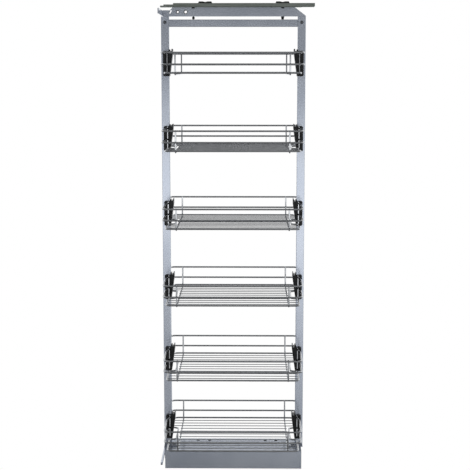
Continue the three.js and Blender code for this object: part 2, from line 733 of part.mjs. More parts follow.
function ballStud() {
  const { shank, ball, reach } = BALL_STUD;
  const length = studTop - HEAD_BOTTOM + reach;
  const radius = ball / 2;
  const profile = [[0, -length]];
  for (let i = 1; i <= 4; i += 1) {
    const angle = (Math.PI * i) / 5;
    profile.push([radius * Math.sin(angle), -length + radius - radius * Math.cos(angle)]);
  }
  profile.push([shank / 2, -length + ball], [shank / 2, 0], [0, 0]);
  return profile;
}

function coneStud() {
  const { shank, cone, tip, reach } = CONE_STUD;
  const length = studTop - HEAD_BOTTOM + reach;
  const shoulder = -length + reach - GAP;
  const taper = [[tip / 2, -length], [cone / 2, shoulder]];
  return [[0, -length], ...taper, [shank / 2, shoulder], [shank / 2, 0], [0, 0]];
}

addMesh('ball_stud', turned(ballStud(), [ballStudX, 0, studTop], [0, 0, 1]), 'plastic', head);
addMesh('cone_stud', turned(coneStud(), [coneStudX, 0, studTop], [0, 0, 1]), 'plastic', head);

// The top slide lies flat: its widest channel is up, fixed to the cabinet.
const slideTop = headTop + GAP + SLIDE_DEPTH;
const topToYZ = ([depth, height]) => [height, slideTop - depth];
const innerFront = -halfFrame - TOP_SLIDE_PAST.inner;
const midFront = -halfFrame - TOP_SLIDE_PAST.mid;
const cabinetFront = -halfFrame - TOP_SLIDE_PAST.cabinet;

addMesh('top_slide_inner', slideChannel(SLIDE_SECTIONS.inner, topToYZ, innerFront), 'zinc', head);
const innerCageMiddle = (innerFront + midFront + trayLength) / 2;
addMesh('top_cage_inner', slideCage(CAGES.inner, topToYZ, innerCageMiddle), 'steel', head);
addMesh('top_slide_mid', slideChannel(SLIDE_SECTIONS.mid, topToYZ, midFront), 'zinc', head);
const outerCageMiddle = (midFront + cabinetFront + trayLength) / 2;
addMesh('top_cage_outer', slideCage(CAGES.outer, topToYZ, outerCageMiddle), 'steel', head);
addMesh('top_slide_cabinet', slideChannel(SLIDE_SECTIONS.outer, topToYZ, cabinetFront), 'zinc', head);

function mountingBlock(x) {
  const halfLength = BLOCK.length / 2;
  const bottom = slideTop + GAP;
  const top = bottom + BLOCK.height;
  const outline = [
    [x - halfLength, bottom],
    [x + halfLength, bottom],
    [x + halfLength - BLOCK.slant, top],
    [x + halfLength - BLOCK.lobe, top],
    [x, top - BLOCK.dip],
    [x - halfLength + BLOCK.lobe, top],
    [x - halfLength + BLOCK.slant, top],
  ];
  return extrude(outline, 'y', -BLOCK.width / 2, BLOCK.width / 2);
}

const rearBlockX = cabinetFront + trayLength - BLOCK_INSET.rear;
addMesh('mounting_block_front', mountingBlock(cabinetFront + BLOCK_INSET.front), 'plastic', head);
addMesh('mounting_block_rear', mountingBlock(rearBlockX), 'plastic', head);

// ---------------------------------------------------------------- door brackets

function doorScrewHoles(thickness, front, z) {
  const y = DOOR_BAR_REACH - DOOR_SCREW_HOLE.inset;
  const length = thickness + 2 * OVERCUT;
  return [-y, y].map((at) => rod(DOOR_SCREW_HOLE.diameter, length, [front - OVERCUT, at, z], [1, 0, 0], 8));
}

function doorBracketTop() {
  const back = -headFront - GAP;
  const front = back - TOP_BAR.thickness;
  const tall = [topBarMiddle - TOP_BAR.height / 2, topBarMiddle + TOP_BAR.height / 2];
  const bar = box([front, back], [-DOOR_BAR_REACH, DOOR_BAR_REACH], tall);
  const seat = countersink(BRACKET_BOLT, TOP_BAR.thickness + OVERCUT, [front, 0, topBarMiddle], [-1, 0, 0]);
  return toGeometry(cut(toSolid(bar), [seat, ...doorScrewHoles(TOP_BAR.thickness, front, topBarMiddle)]));
}

function doorBracketBottom() {
  const back = -halfTray - GAP;
  const front = back - BOTTOM_BAR.thickness;
  const tall = [bottomBarTop - BOTTOM_BAR.height, bottomBarTop];
  const bar = box([front, back], [-DOOR_BAR_REACH, DOOR_BAR_REACH], tall);
  const plateTall = [BEAM_BOTTOM + SHEET, bottomBarTop];
  const plate = box([back - BOTTOM_BAR.plate, back], [-GROOVE_INNER, GROOVE_INNER], plateTall);
  const at = [back - BOTTOM_BAR.plate, 0, bottomBoltZ];
  const seat = countersink(BRACKET_BOLT, BOTTOM_BAR.plate + OVERCUT, at, [-1, 0, 0]);
  const middle = bottomBarTop - BOTTOM_BAR.height / 2;
  const holes = [seat, ...doorScrewHoles(BOTTOM_BAR.thickness, front, middle)];
  return toGeometry(cut(join([bar, plate]), holes));
}

addMesh('door_bracket_top', doorBracketTop(), 'paint', head);
addMesh('door_bracket_bottom', doorBracketBottom(), 'paint', frame);

// Each bolt's head lies a gap inside its bar, and its tip stands past the tab behind.
const topBolt = [-headFront - TOP_BAR.thickness, 0, topBarMiddle];
const topBoltLength = TOP_BAR.thickness + END_TAB + BRACKET_BOLT.tip;
const topBoltShape = countersunkBolt(BRACKET_BOLT, topBoltLength, topBolt, [-1, 0, 0]);
addMesh('bracket_bolt_top', topBoltShape, 'steel', head);

const bottomBolt = [-halfTray - BOTTOM_BAR.plate, 0, bottomBoltZ];
const bottomBoltLength = BOTTOM_BAR.plate + END_TAB + BRACKET_BOLT.tip;
const bottomBoltShape = countersunkBolt(BRACKET_BOLT, bottomBoltLength, bottomBolt, [-1, 0, 0]);
addMesh('bracket_bolt_bottom', bottomBoltShape, 'steel', frame);

export default unit;
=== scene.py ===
"""A pull-out larder unit: six chrome wire baskets on a two-post frame that runs out on ball slides.

Lengths in the dataclasses are in millimetres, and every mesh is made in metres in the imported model's frame:
the unit pulls out towards -X, the baskets reach out along Y, and +Z is up.
"""

from __future__ import annotations

import json
import logging
import math
from dataclasses import dataclass, replace
from enum import Enum
from functools import partial

import bmesh
import bpy
from mathutils import Matrix, Vector

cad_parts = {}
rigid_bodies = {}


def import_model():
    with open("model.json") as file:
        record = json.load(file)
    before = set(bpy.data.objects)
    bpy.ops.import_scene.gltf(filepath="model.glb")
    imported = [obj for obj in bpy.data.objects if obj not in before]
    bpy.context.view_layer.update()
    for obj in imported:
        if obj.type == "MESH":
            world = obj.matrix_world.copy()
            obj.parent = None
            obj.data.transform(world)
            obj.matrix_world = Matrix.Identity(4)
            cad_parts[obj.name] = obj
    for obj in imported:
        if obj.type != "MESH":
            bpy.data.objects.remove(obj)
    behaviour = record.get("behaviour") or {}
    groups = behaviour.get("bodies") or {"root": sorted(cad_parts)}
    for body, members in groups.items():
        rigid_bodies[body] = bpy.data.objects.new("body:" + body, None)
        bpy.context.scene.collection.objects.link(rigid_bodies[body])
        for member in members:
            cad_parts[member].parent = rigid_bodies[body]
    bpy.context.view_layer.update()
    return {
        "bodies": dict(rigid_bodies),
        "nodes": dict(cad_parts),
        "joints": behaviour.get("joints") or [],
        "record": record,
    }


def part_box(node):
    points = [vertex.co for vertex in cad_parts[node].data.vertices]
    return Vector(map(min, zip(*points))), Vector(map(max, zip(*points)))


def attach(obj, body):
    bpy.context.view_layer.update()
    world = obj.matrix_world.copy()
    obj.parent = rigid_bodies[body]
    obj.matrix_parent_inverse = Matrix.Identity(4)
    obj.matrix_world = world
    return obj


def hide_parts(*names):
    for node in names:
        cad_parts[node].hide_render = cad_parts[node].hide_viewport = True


MM = 0.001  # metres
PAST = 1.0  # how far a cutting shape runs past a face, in millimetres
STEEP = 50.0  # degrees: the least edge that is rounded on tubes and screws
SAME_POINT = 1e-6  # metres, within which the points of a made shape are one
SAME_CAD_POINT = 1e-5  # metres, within which the points of a frame node's triangles are one
FLAT_FACE = 1.0  # degrees, within which a frame node's triangles are one face
BLACK, WHITE = (0.0, 0.0, 0.0, 1.0), (1.0, 1.0, 1.0, 1.0)
ENDS = ("front", "rear")
log = logging.getLogger("larder")

Point = tuple[float, float, float]
Flat = tuple[float, float]
Colour = tuple[float, float, float, float]
Thing = bpy.types.Object
Material = bpy.types.Material
Node = bpy.types.Node
Socket = bpy.types.NodeSocket
Tree = bpy.types.NodeTree


# ---------------------------------------------------------------- materials


def linear(hex_colour: str) -> Colour:
    """Turns an sRGB hex colour into Blender's linear colour.

    Args:
        hex_colour: six hex digits.

    Returns:
        Red, green, blue and an alpha of 1, in linear light.
    """
    channels = []
    for start in (0, 2, 4):
        value = int(hex_colour[start : start + 2], 16) / 255
        channels.append(value / 12.92 if value <= 0.04045 else ((value + 0.055) / 1.055) ** 2.4)
    return (channels[0], channels[1], channels[2], 1.0)


def add_node(
    tree: Tree, kind: str, inputs: dict | None = None, stops: tuple | list = (), **settings: object
) -> Node:
    """Adds a node with its settings, and fills or links its inputs.

    Args:
        tree: the node tree that gets the node.
        kind: the node's type name.
        inputs: values or sockets, by the input's name or number.
        stops: a colour ramp's positions and colours.
        settings: attributes of the node itself.

    Returns:
        The new node.
    """
    node = tree.nodes.new(kind)
    for name, value in settings.items():
        setattr(node, name, value)
    for key, value in (inputs or {}).items():
        if isinstance(value, Socket):
            tree.links.new(value, node.inputs[key])
        else:
            node.inputs[key].default_value = value
    if stops:
        elements = node.color_ramp.elements
        while len(elements) < len(stops):
            elements.new(0.5)
        for element, (position, colour) in zip(elements, stops):
            element.position = position
            element.color = colour
    return node


def pattern(place: Socket, size_mm: float, detail: float) -> dict:
    """Gives a noise texture's inputs for a pattern of a real size in millimetres."""
    return {"Vector": place, "Scale": 1 / (size_mm * MM), "Detail": detail}


def span(value: Socket, start: float, end: float, low: object = 0.0, high: object = 1.0) -> dict:
    """Gives a Map Range node's inputs, to go from low to high as a value goes from start to end."""
    return {"Value": value, "From Min": start, "From Max": end, "To Min": low, "To Max": high}


def start_material(name: str) -> tuple[Material, Socket]:
    """Starts a node material.

    Args:
        name: the material's name.

    Returns:
        The material and its Object coordinates.
    """
    material = bpy.data.materials.new(name)
    material.use_nodes = True
    material.node_tree.nodes.clear()
    return material, add_node(material.node_tree, "ShaderNodeTexCoord").outputs["Object"]


def finish_material(material: Material, surface: dict) -> Material:
    """Gives a material its Principled shader.

    Args:
        material: the material.
        surface: values and sockets, by the name of the shader's own socket.

    Returns:
        The same material.
    """
    shader = add_node(material.node_tree, "ShaderNodeBsdfPrincipled", surface)
    add_node(material.node_tree, "ShaderNodeOutputMaterial", {"Surface": shader.outputs["BSDF"]})
    return material


@dataclass(frozen=True)
class Finish:
    """A finish: its colours, its roughness and its relief, which each follow a pattern of the finish's own.

    Shades are the values of the colour's pattern that give the dark and the light colour, and wear those of
    the roughness's pattern that give the least and the most. Relief is a strength and a depth in mm.
    """

    name: str = "plain"
    light: str = "808080"
    dark: str = "808080"
    metallic: float = 1.0
    roughness: Flat = (0.3, 0.3)
    shades: Flat = (0.0, 1.0)
    wear: Flat = (0.0, 1.0)
    relief: Flat = (0.1, 0.1)
    extra: tuple[tuple[str, float], ...] = ()

    def patterns(self, add: partial, place: Socket) -> tuple[Socket | None, Socket, Socket]:
        """Adds the finish's patterns.

        Args:
            add: adds a node to the material's tree.
            place: the piece's Object coordinates.

        Returns:
            What the colour follows, or None if it's the light one all over, what the roughness follows,
            and the relief's height.
        """
        raise NotImplementedError

    def build(self) -> Material:
        """Makes the material.

        Returns:
            The finished material.
        """
        material, place = start_material(self.name)
        add = partial(add_node, material.node_tree)
        shade, wear, height = self.patterns(add, place)
        strength, depth = self.relief
        rough = add("ShaderNodeMapRange", span(wear, *self.wear, *self.roughness))
        bump = add("ShaderNodeBump", {"Height": height, "Strength": strength, "Distance": depth * MM})
        surface = {"Base Color": linear(self.light), "Metallic": self.metallic, **dict(self.extra)}
        surface |= {"Roughness": rough.outputs["Result"], "Normal": bump.outputs["Normal"]}
        if shade:
            stops = (self.shades[0], linear(self.dark)), (self.shades[1], linear(self.light))
            surface["Base Color"] = add("ShaderNodeValToRGB", {"Fac": shade}, stops).outputs["Color"]
        return finish_material(material, surface)


@dataclass(frozen=True)
class PowderCoat(Finish):
    """Silver-grey epoxy powder coat, sprayed and baked on folded steel: satin, with a faint orange peel.

    The peel's real spacing of about 1 mm is under a pixel here, so it is drawn 5 mm apart.
    """

    name: str = "silver_powder_coat"
    light: str = "C6CCD7"
    dark: str = "B6BDCA"
    metallic: float = 0.75
    roughness: Flat = (0.14, 0.19)
    shades: Flat = (0.45, 0.9)
    relief: Flat = (0.06, 0.2)
    cloud_mm: float = 140.0
    peel_mm: float = 5.0
    fleck_mm: float = 2.0
    fleck_share: float = 0.35

    def patterns(self, add: partial, place: Socket) -> tuple[Socket, Socket, Socket]:
        """Adds soft clouds with fine flecks, and the peel.

        Args:
            add: adds a node to the material's tree.
            place: the piece's Object coordinates.

        Returns:
            What the colour, the roughness and the relief follow.
        """
        cloud = add("ShaderNodeTexNoise", pattern(place, self.cloud_mm, 3.0)).outputs["Fac"]
        fleck = add("ShaderNodeTexNoise", pattern(place, self.fleck_mm, 1.0)).outputs["Fac"]
        peel = add("ShaderNodeTexNoise", pattern(place, self.peel_mm, 2.0)).outputs["Fac"]
        both = add("ShaderNodeMath", {0: fleck, 1: self.fleck_share, 2: cloud}, operation="MULTIPLY_ADD")
        return both.outputs[0], cloud, peel


@dataclass(frozen=True)
class ZincPlate(Finish):
    """Zinc-plated steel strip, roll-formed: a grey-green metal with fine draw lines along its length.

    Draw lines really lie about 0.3 mm apart; they are drawn 1.5 mm apart to show.
    """

    name: str = "rolled_zinc"
    light: str = "A6ACA6"
    dark: str = "6E756F"
    roughness: Flat = (0.26, 0.46)
    shades: Flat = (0.3, 0.75)
    relief: Flat = (0.15, 0.1)
    line_mm: float = 1.5
    run_mm: float = 120.0

    def patterns(self, add: partial, place: Socket) -> tuple[Socket, Socket, Socket]:
        """Adds the draw lines.

        Args:
            add: adds a node to the material's tree.
            place: the piece's Object coordinates.

        Returns:
            What the colour, the roughness and the relief follow.
        """
        along, across = 1 / (self.run_mm * MM), 1 / (self.line_mm * MM)
        drawn = add("ShaderNodeMapping", {"Vector": place, "Scale": (along, across, across)})
        noise = {"Vector": drawn.outputs["Vector"], "Scale": 1.0, "Detail": 3.0}
        lines = add("ShaderNodeTexNoise", noise).outputs["Fac"]
        return lines, lines, lines


@dataclass(frozen=True)
class BrightMetal(Finish):
    """A bright plated metal: chrome on the wires, or clear zinc on screws and tubes.

    Handling leaves soft smears, a few centimetres across, that only the roughness shows.
    """

    name: str = "bright_chrome"
    light: str = "C6C8CB"
    roughness: Flat = (0.05, 0.16)
    wear: Flat = (0.35, 0.7)
    relief: Flat = (0.012, 0.1)
    smear_mm: float = 30.0
    pit_mm: float = 1.6

    def patterns(self, add: partial, place: Socket) -> tuple[None, Socket, Socket]:
        """Adds the smears and fine pits.

        Args:
            add: adds a node to the material's tree.
            place: the piece's Object coordinates.

        Returns:
            None for the colour, and what the roughness and the relief follow.
        """
        smear = add("ShaderNodeTexNoise", pattern(place, self.smear_mm, 4.0)).outputs["Fac"]
        return None, smear, add("ShaderNodeTexNoise", pattern(place, self.pit_mm, 1.0)).outputs["Fac"]


@dataclass(frozen=True)
class MouldedPlastic(Finish):
    """Black glass-filled nylon, injection moulded: near black, satin, with a fine spark-eroded grain."""

    name: str = "black_nylon"
    light: str = "17191B"
    dark: str = "090A0B"
    metallic: float = 0.0
    roughness: Flat = (0.22, 0.42)
    relief: Flat = (0.2, 0.1)
    extra: tuple[tuple[str, float], ...] = (("IOR", 1.53), ("Specular IOR Level", 0.3))
    grain_mm: float = 1.2
    flow_mm: float = 25.0

    def patterns(self, add: partial, place: Socket) -> tuple[Socket, Socket, Socket]:
        """Adds the plastic's flow marks and its grain.

        Args:
            add: adds a node to the material's tree.
            place: the piece's Object coordinates.

        Returns:
            What the colour, the roughness and the relief follow.
        """
        flow = add("ShaderNodeTexNoise", pattern(place, self.flow_mm, 2.0)).outputs["Fac"]
        grain = add("ShaderNodeTexVoronoi", {"Vector": place, "Scale": 1 / (self.grain_mm * MM)})
        return flow, flow, grain.outputs["Distance"]


class Slot(Enum):
    """The record's material slots."""

    PAINT = "paint"
    ZINC = "zinc"
    CHROME = "chrome"
    PLASTIC = "plastic"
    STEEL = "steel"


CLEAR_ZINC = BrightMetal(
    "clear_zinc_steel", "B9BCBF", roughness=(0.18, 0.34), smear_mm=18.0, pit_mm=1.2
)
FINISHES = {
    Slot.PAINT: PowderCoat(),
    Slot.ZINC: ZincPlate(),
    Slot.CHROME: BrightMetal(),
    Slot.PLASTIC: MouldedPlastic(),
    Slot.STEEL: CLEAR_ZINC,
}


# ---------------------------------------------------------------- meshes


def mesh_object(name: str, vertices: list, faces: list, edges: list | None = None) -> Thing:
    """Makes an object from points in millimetres.

    Args:
        name: the object's name.
        vertices: points in millimetres.
        faces: lists of point numbers.
        edges: pairs of point numbers, for a mesh of lines.

    Returns:
        The new object, linked to the scene.
    """
    mesh = bpy.data.meshes.new(name)
    mesh.from_pydata([Vector(v) * MM for v in vertices], edges or [], faces)
    mesh.validate()
    thing = bpy.data.objects.new(name, mesh)
    bpy.context.scene.collection.objects.link(thing)
    return thing


def settle(thing: Thing) -> Thing:
    """Applies an object's modifiers, so that it is one plain mesh.

    Args:
        thing: the object.

    Returns:
        The same object.
    """
    graph = bpy.context.evaluated_depsgraph_get()
    graph.update()
    mesh = bpy.data.meshes.new_from_object(thing.evaluated_get(graph))
    mesh.name = thing.name
    thing.modifiers.clear()
    thing.data = mesh
    return thing


def closed(name: str, points: list[Point], faces: list[list[int]]) -> Thing:
    """Makes a closed object, with its doubled points merged and its faces turned outwards.

    Args:
        name: the object's name.
        points: points in millimetres.
        faces: lists of point numbers.

    Returns:
        The new object.
    """
    thing = mesh_object(name, points, faces)
    shape = bmesh.new()
    shape.from_mesh(thing.data)
    bmesh.ops.remove_doubles(shape, verts=shape.verts, dist=SAME_POINT)
    bmesh.ops.recalc_face_normals(shape, faces=shape.faces)
    shape.to_mesh(thing.data)
    shape.free()
    return thing


def prism(name: str, outline: list[Flat], axis: str, start: float, end: float) -> Thing:
    """Extrudes an outline along an axis.

    Args:
        name: the object's name.
        outline: points in the plane across the axis: (y, z), (x, z) or (x, y).
        axis: "x", "y" or "z".
        start: where it starts along the axis.
        end: where it ends.

    Returns:
        The closed object.
    """
    order = {"x": (2, 0, 1), "y": (0, 2, 1), "z": (0, 1, 2)}[axis]
    count = len(outline)
    points = [tuple((u, v, w)[k] for k in order) for w in (start, end) for u, v in outline]
    faces = [list(range(count)), list(range(2 * count - 1, count - 1, -1))]
    for i in range(count):
        j = (i + 1) % count
        faces.append([i, j, count + j, count + i])
    return closed(name, points, faces)


def turned(name: str, profile: list[Flat], sides: int = 32) -> Thing:
    """Turns a profile round the Z axis.

    Args:
        name: the object's name.
        profile: (radius, height) points that start and end on the axis, or come back to the first point.
        sides: how many faces round.

    Returns:
        The closed object.
    """
    points: list[Point] = []
    rings: list[list[int]] = []
    for radius, height in profile:
        if radius == 0:
            rings.append([len(points)])
            points.append((0, 0, height))
            continue
        first = len(points)
        rings.append(list(range(first, first + sides)))
        for k in range(sides):
            angle = 2 * math.pi * k / sides
            points.append((radius * math.cos(angle), radius * math.sin(angle), height))
    faces = []
    for low, high in zip(rings, rings[1:]):
        for k in range(sides):
            j = (k + 1) % sides
            corners = [low[k % len(low)], low[j % len(low)], high[j % len(high)], high[k % len(high)]]
            faces.append(list(dict.fromkeys(corners)))
    return closed(name, points, faces)


def carve(thing: Thing, cutters: list[Thing], join: bool = False) -> Thing:
    """Cuts tools out of an object, or joins them to it.

    Args:
        thing: the object to change.
        cutters: closed objects, which are deleted afterwards.
        join: True to join them instead.

    Returns:
        The same object.
    """
    for cutter in cutters:
        step = thing.modifiers.new("carve", "BOOLEAN")
        step.operation = "UNION" if join else "DIFFERENCE"
        step.solver = "EXACT"
        step.object = cutter
    settle(thing)
    for cutter in cutters:
        bpy.data.objects.remove(cutter)
    return thing


def soften(thing: Thing, width: float, segments: int = 2, angle: float = 35.0) -> Thing:
    """Rounds an object's sharp edges, and keeps its flat faces flat to the eye.

    Args:
        thing: the object.
        width: the bevel's width in millimetres.
        segments: how many strips make the bevel.
        angle: the least angle of an edge that is rounded, in degrees.

    Returns:
        The same object, with smooth shading.
    """
    step = thing.modifiers.new("soften", "BEVEL")
    step.width = width * MM
    step.segments = segments
    step.limit_method = "ANGLE"
    step.angle_limit = math.radians(angle)
    step.use_clamp_overlap = True
    even = thing.modifiers.new("flat_faces_stay_flat", "WEIGHTED_NORMAL")
    even.mode = "FACE_AREA"
    even.weight = 100
    thing.data.shade_smooth()
    return settle(thing)


def moved(thing: Thing, matrix: Matrix) -> Thing:
    """Moves an object's mesh by a matrix, and keeps its faces outwards.

    Args:
        thing: the object.
        matrix: the move in metres, which may mirror.

    Returns:
        The same object.
    """
    thing.data.transform(matrix)
    if matrix.determinant() < 0:
        thing.data.flip_normals()
    return thing


def shift(x: float, y: float, z: float) -> Matrix:
    """Gives the matrix of a move in millimetres."""
    return Matrix.Translation(Vector((x, y, z)) * MM)


def facing(at: Point, direction: Point) -> Matrix:
    """Gives the matrix that points +Z in a direction and moves the origin to a point in millimetres."""
    return shift(*at) @ Vector((0, 0, 1)).rotation_difference(Vector(direction)).to_matrix().to_4x4()


def merged(name: str, things: list[Thing]) -> Thing:
    """Puts several objects' meshes in one object.

    Args:
        name: the new object's name.
        things: the objects, which are deleted afterwards.

    Returns:
        The new object.
    """
    shape = bmesh.new()
    for thing in things:
        shape.from_mesh(thing.data)
        bpy.data.objects.remove(thing)
    whole = mesh_object(name, [], [])
    shape.to_mesh(whole.data)
    shape.free()
    whole.data.shade_smooth()
    return whole


def copy_of(thing: Thing, name: str, offset: Point = (0, 0, 0)) -> Thing:
    """Copies an object, with its mesh moved.

    Args:
        thing: the object.
        name: the copy's name.
        offset: the move in millimetres.

    Returns:
        The copy.
    """
    twin = bpy.data.objects.new(name, thing.data.copy())
    bpy.context.scene.collection.objects.link(twin)
    return moved(twin, shift(*offset))


def rounded_rectangle(width: float, height: float, radius: float, steps: int = 5) -> list[Flat]:
    """Gives the outline of a rectangle with round corners, centred on the origin.

    Args:
        width: its width.
        height: its height.
        radius: its corners' radius.
        steps: straight parts in each corner.

    Returns:
        The outline's points.
    """
    outline = []
    for quarter in range(4):
        middle_x = (1 if quarter in (0, 3) else -1) * (width / 2 - radius)
        middle_y = (1 if quarter in (0, 1) else -1) * (height / 2 - radius)
        for k in range(steps + 1):
            angle = math.pi / 2 * (quarter + k / steps)
            outline.append((middle_x + radius * math.cos(angle), middle_y + radius * math.sin(angle)))
    return outline


def rod(diameter: float, start: Point, end: Point, sides: int = 32) -> Thing:
    """Makes a plain cylinder for use as a cutter.

    Args:
        diameter: its diameter.
        start: the middle of one end.
        end: the middle of the other end.
        sides: how many faces round.

    Returns:
        The closed object.
    """
    length = (Vector(end) - Vector(start)).length
    thing = turned("rod", [(0, 0), (diameter / 2, 0), (diameter / 2, length), (0, length)], sides)
    return moved(thing, facing(start, Vector(end) - Vector(start)))


def block(x: Flat, y: Flat, z: Flat) -> Thing:
    """Makes a plain box between limits on each axis, as a cutter or the start of a piece."""
    return prism("block", [(x[0], y[0]), (x[1], y[0]), (x[1], y[1]), (x[0], y[1])], "z", *z)


# ---------------------------------------------------------------- geometry nodes


def new_tree(name: str, inputs: dict[str, tuple[str, object]]) -> Tree:
    """Starts a Geometry Nodes tree with named inputs after its geometry, the last of them its material.

    Args:
        name: the tree's name.
        inputs: socket type and default, by name.

    Returns:
        The tree, with a Geometry output.
    """
    tree = bpy.data.node_groups.new(name, "GeometryNodeTree")
    tree.interface.new_socket("Geometry", in_out="INPUT", socket_type="NodeSocketGeometry")
    for label, (kind, value) in {**inputs, "Material": ("NodeSocketMaterial", None)}.items():
        socket = tree.interface.new_socket(label, in_out="INPUT", socket_type=kind)
        if value is not None:
            socket.default_value = value
    tree.interface.new_socket("Geometry", in_out="OUTPUT", socket_type="NodeSocketGeometry")
    return tree


def finish_tree(tree: Tree, made: Socket, given: Node) -> Tree:
    """Ends a tree in Realize Instances, smooth shading and Set Material.

    Args:
        tree: the tree.
        made: the socket of what it made.
        given: its Group Input node.

    Returns:
        The same tree.
    """
    add = partial(add_node, tree)
    real = add("GeometryNodeRealizeInstances", {"Geometry": made}).outputs["Geometry"]
    smooth = add("GeometryNodeSetShadeSmooth", {"Geometry": real}).outputs[0]
    dressed = add("GeometryNodeSetMaterial", {"Geometry": smooth, "Material": given.outputs["Material"]})
    add("NodeGroupOutput", {0: dressed.outputs["Geometry"]})
    return tree


def wire_tree() -> Tree:
    """Builds the tree that turns lines into bent round wires with domed ends.

    A line's corners are rounded by the radius in its points' "bend" attribute.

    Returns:
        The tree.
    """
    inputs = {
        "Wire Diameter": ("NodeSocketFloat", 0.005),
        "Sides": ("NodeSocketInt", 16),
        "Bend Steps": ("NodeSocketInt", 8),
    }
    tree = new_tree("bent_wires", inputs)
    add = partial(add_node, tree)
    given = add("NodeGroupInput")
    sides = given.outputs["Sides"]
    half = {0: given.outputs["Wire Diameter"], 1: 0.5}
    radius = add("ShaderNodeMath", half, operation="MULTIPLY").outputs[0]
    lines = add("GeometryNodeMeshToCurve", {"Mesh": given.outputs["Geometry"]}).outputs["Curve"]
    bend = add("GeometryNodeInputNamedAttribute", {"Name": "bend"}, data_type="FLOAT").outputs["Attribute"]
    corners = {"Curve": lines, "Radius": bend, "Count": given.outputs["Bend Steps"], "Limit Radius": True}
    bent = add("GeometryNodeFilletCurve", corners, mode="POLY").outputs["Curve"]
    section = add("GeometryNodeCurvePrimitiveCircle", {"Resolution": sides, "Radius": radius})
    sweep = {"Curve": bent, "Profile Curve": section.outputs["Curve"], "Fill Caps": True}
    swept = add("GeometryNodeCurveToMesh", sweep).outputs["Mesh"]
    ends = add("GeometryNodeCurveEndpointSelection", {"Start Size": 1, "End Size": 1}).outputs["Selection"]
    dome = add("GeometryNodeMeshUVSphere", {"Segments": sides, "Rings": 8, "Radius": radius}).outputs["Mesh"]
    caps = {"Points": lines, "Selection": ends, "Instance": dome}
    domes = add("GeometryNodeInstanceOnPoints", caps).outputs["Instances"]
    both = add("GeometryNodeJoinGeometry", {"Geometry": swept})
    tree.links.new(domes, both.inputs["Geometry"])
    return finish_tree(tree, both.outputs["Geometry"], given)


def row_tree() -> Tree:
    """Builds the tree that repeats a shape at even steps, such as the balls of a cage.

    Returns:
        The tree.
    """
    inputs = {"Count": ("NodeSocketInt", 10), "Step": ("NodeSocketVector", (0.01, 0.0, 0.0))}
    tree = new_tree("even_row", inputs)
    add = partial(add_node, tree)
    given = add("NodeGroupInput")
    steps = {"Count": given.outputs["Count"], "Offset": given.outputs["Step"]}
    line = add("GeometryNodeMeshLine", steps).outputs["Mesh"]
    row = add("GeometryNodeInstanceOnPoints", {"Points": line, "Instance": given.outputs["Geometry"]})
    return finish_tree(tree, row.outputs["Instances"], given)


def set_out_tree() -> Tree:
    """Builds the tree that sets one shape out at the points of a mesh, such as screws in their holes.

    Returns:
        The tree.
    """
    tree = new_tree("set_out", {"Shape": ("NodeSocketObject", None)})
    add = partial(add_node, tree)
    given = add("NodeGroupInput")
    shape = add("GeometryNodeObjectInfo", {"Object": given.outputs["Shape"]}).outputs["Geometry"]
    placed = add("GeometryNodeInstanceOnPoints", {"Points": given.outputs["Geometry"], "Instance": shape})
    return finish_tree(tree, placed.outputs["Instances"], given)


def run_tree(thing: Thing, tree: Tree, values: dict[str, object]) -> Thing:
    """Runs a Geometry Nodes tree on an object and keeps the result as a plain mesh.

    Args:
        thing: the object.
        tree: the tree.
        values: the tree's inputs by name, each set by its socket's identifier.

    Returns:
        The same object.
    """
    step = thing.modifiers.new(tree.name, "NODES")
    step.node_group = tree
    for item in tree.interface.items_tree:
        if item.item_type == "SOCKET" and item.in_out == "INPUT" and item.name in values:
            step[item.identifier] = values[item.name]
    return settle(thing)


# ---------------------------------------------------------------- workshop


def node_box(node: str) -> tuple[Vector, Vector, Vector]:
    """Measures a node of the frame.

    Args:
        node: the node's name.

    Returns:
        Its lowest, highest and middle points in millimetres.
    """
    low, high = (Vector(corner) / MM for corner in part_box(node))
    return low, high, (low + high) / 2


@dataclass(frozen=True)
class Line:
    """One wire's centre line: its points in millimetres, the bend radius at each, and whether it closes."""

    points: list[Point]
    bends: list[float]
    loop: bool = False

    @classmethod
    def level(cls, path: list[Point], side: int, z: float, loop: bool = False) -> Line:
        """Makes a level line.

        Args:
            path: (x, y, bend radius) for each point.
            side: 1, or -1 to mirror it along Y.
            z: its height.
            loop: whether it closes.

        Returns:
            The line.
        """
        return cls([(x, side * y, z) for x, y, _ in path], [bend for _, _, bend in path], loop)


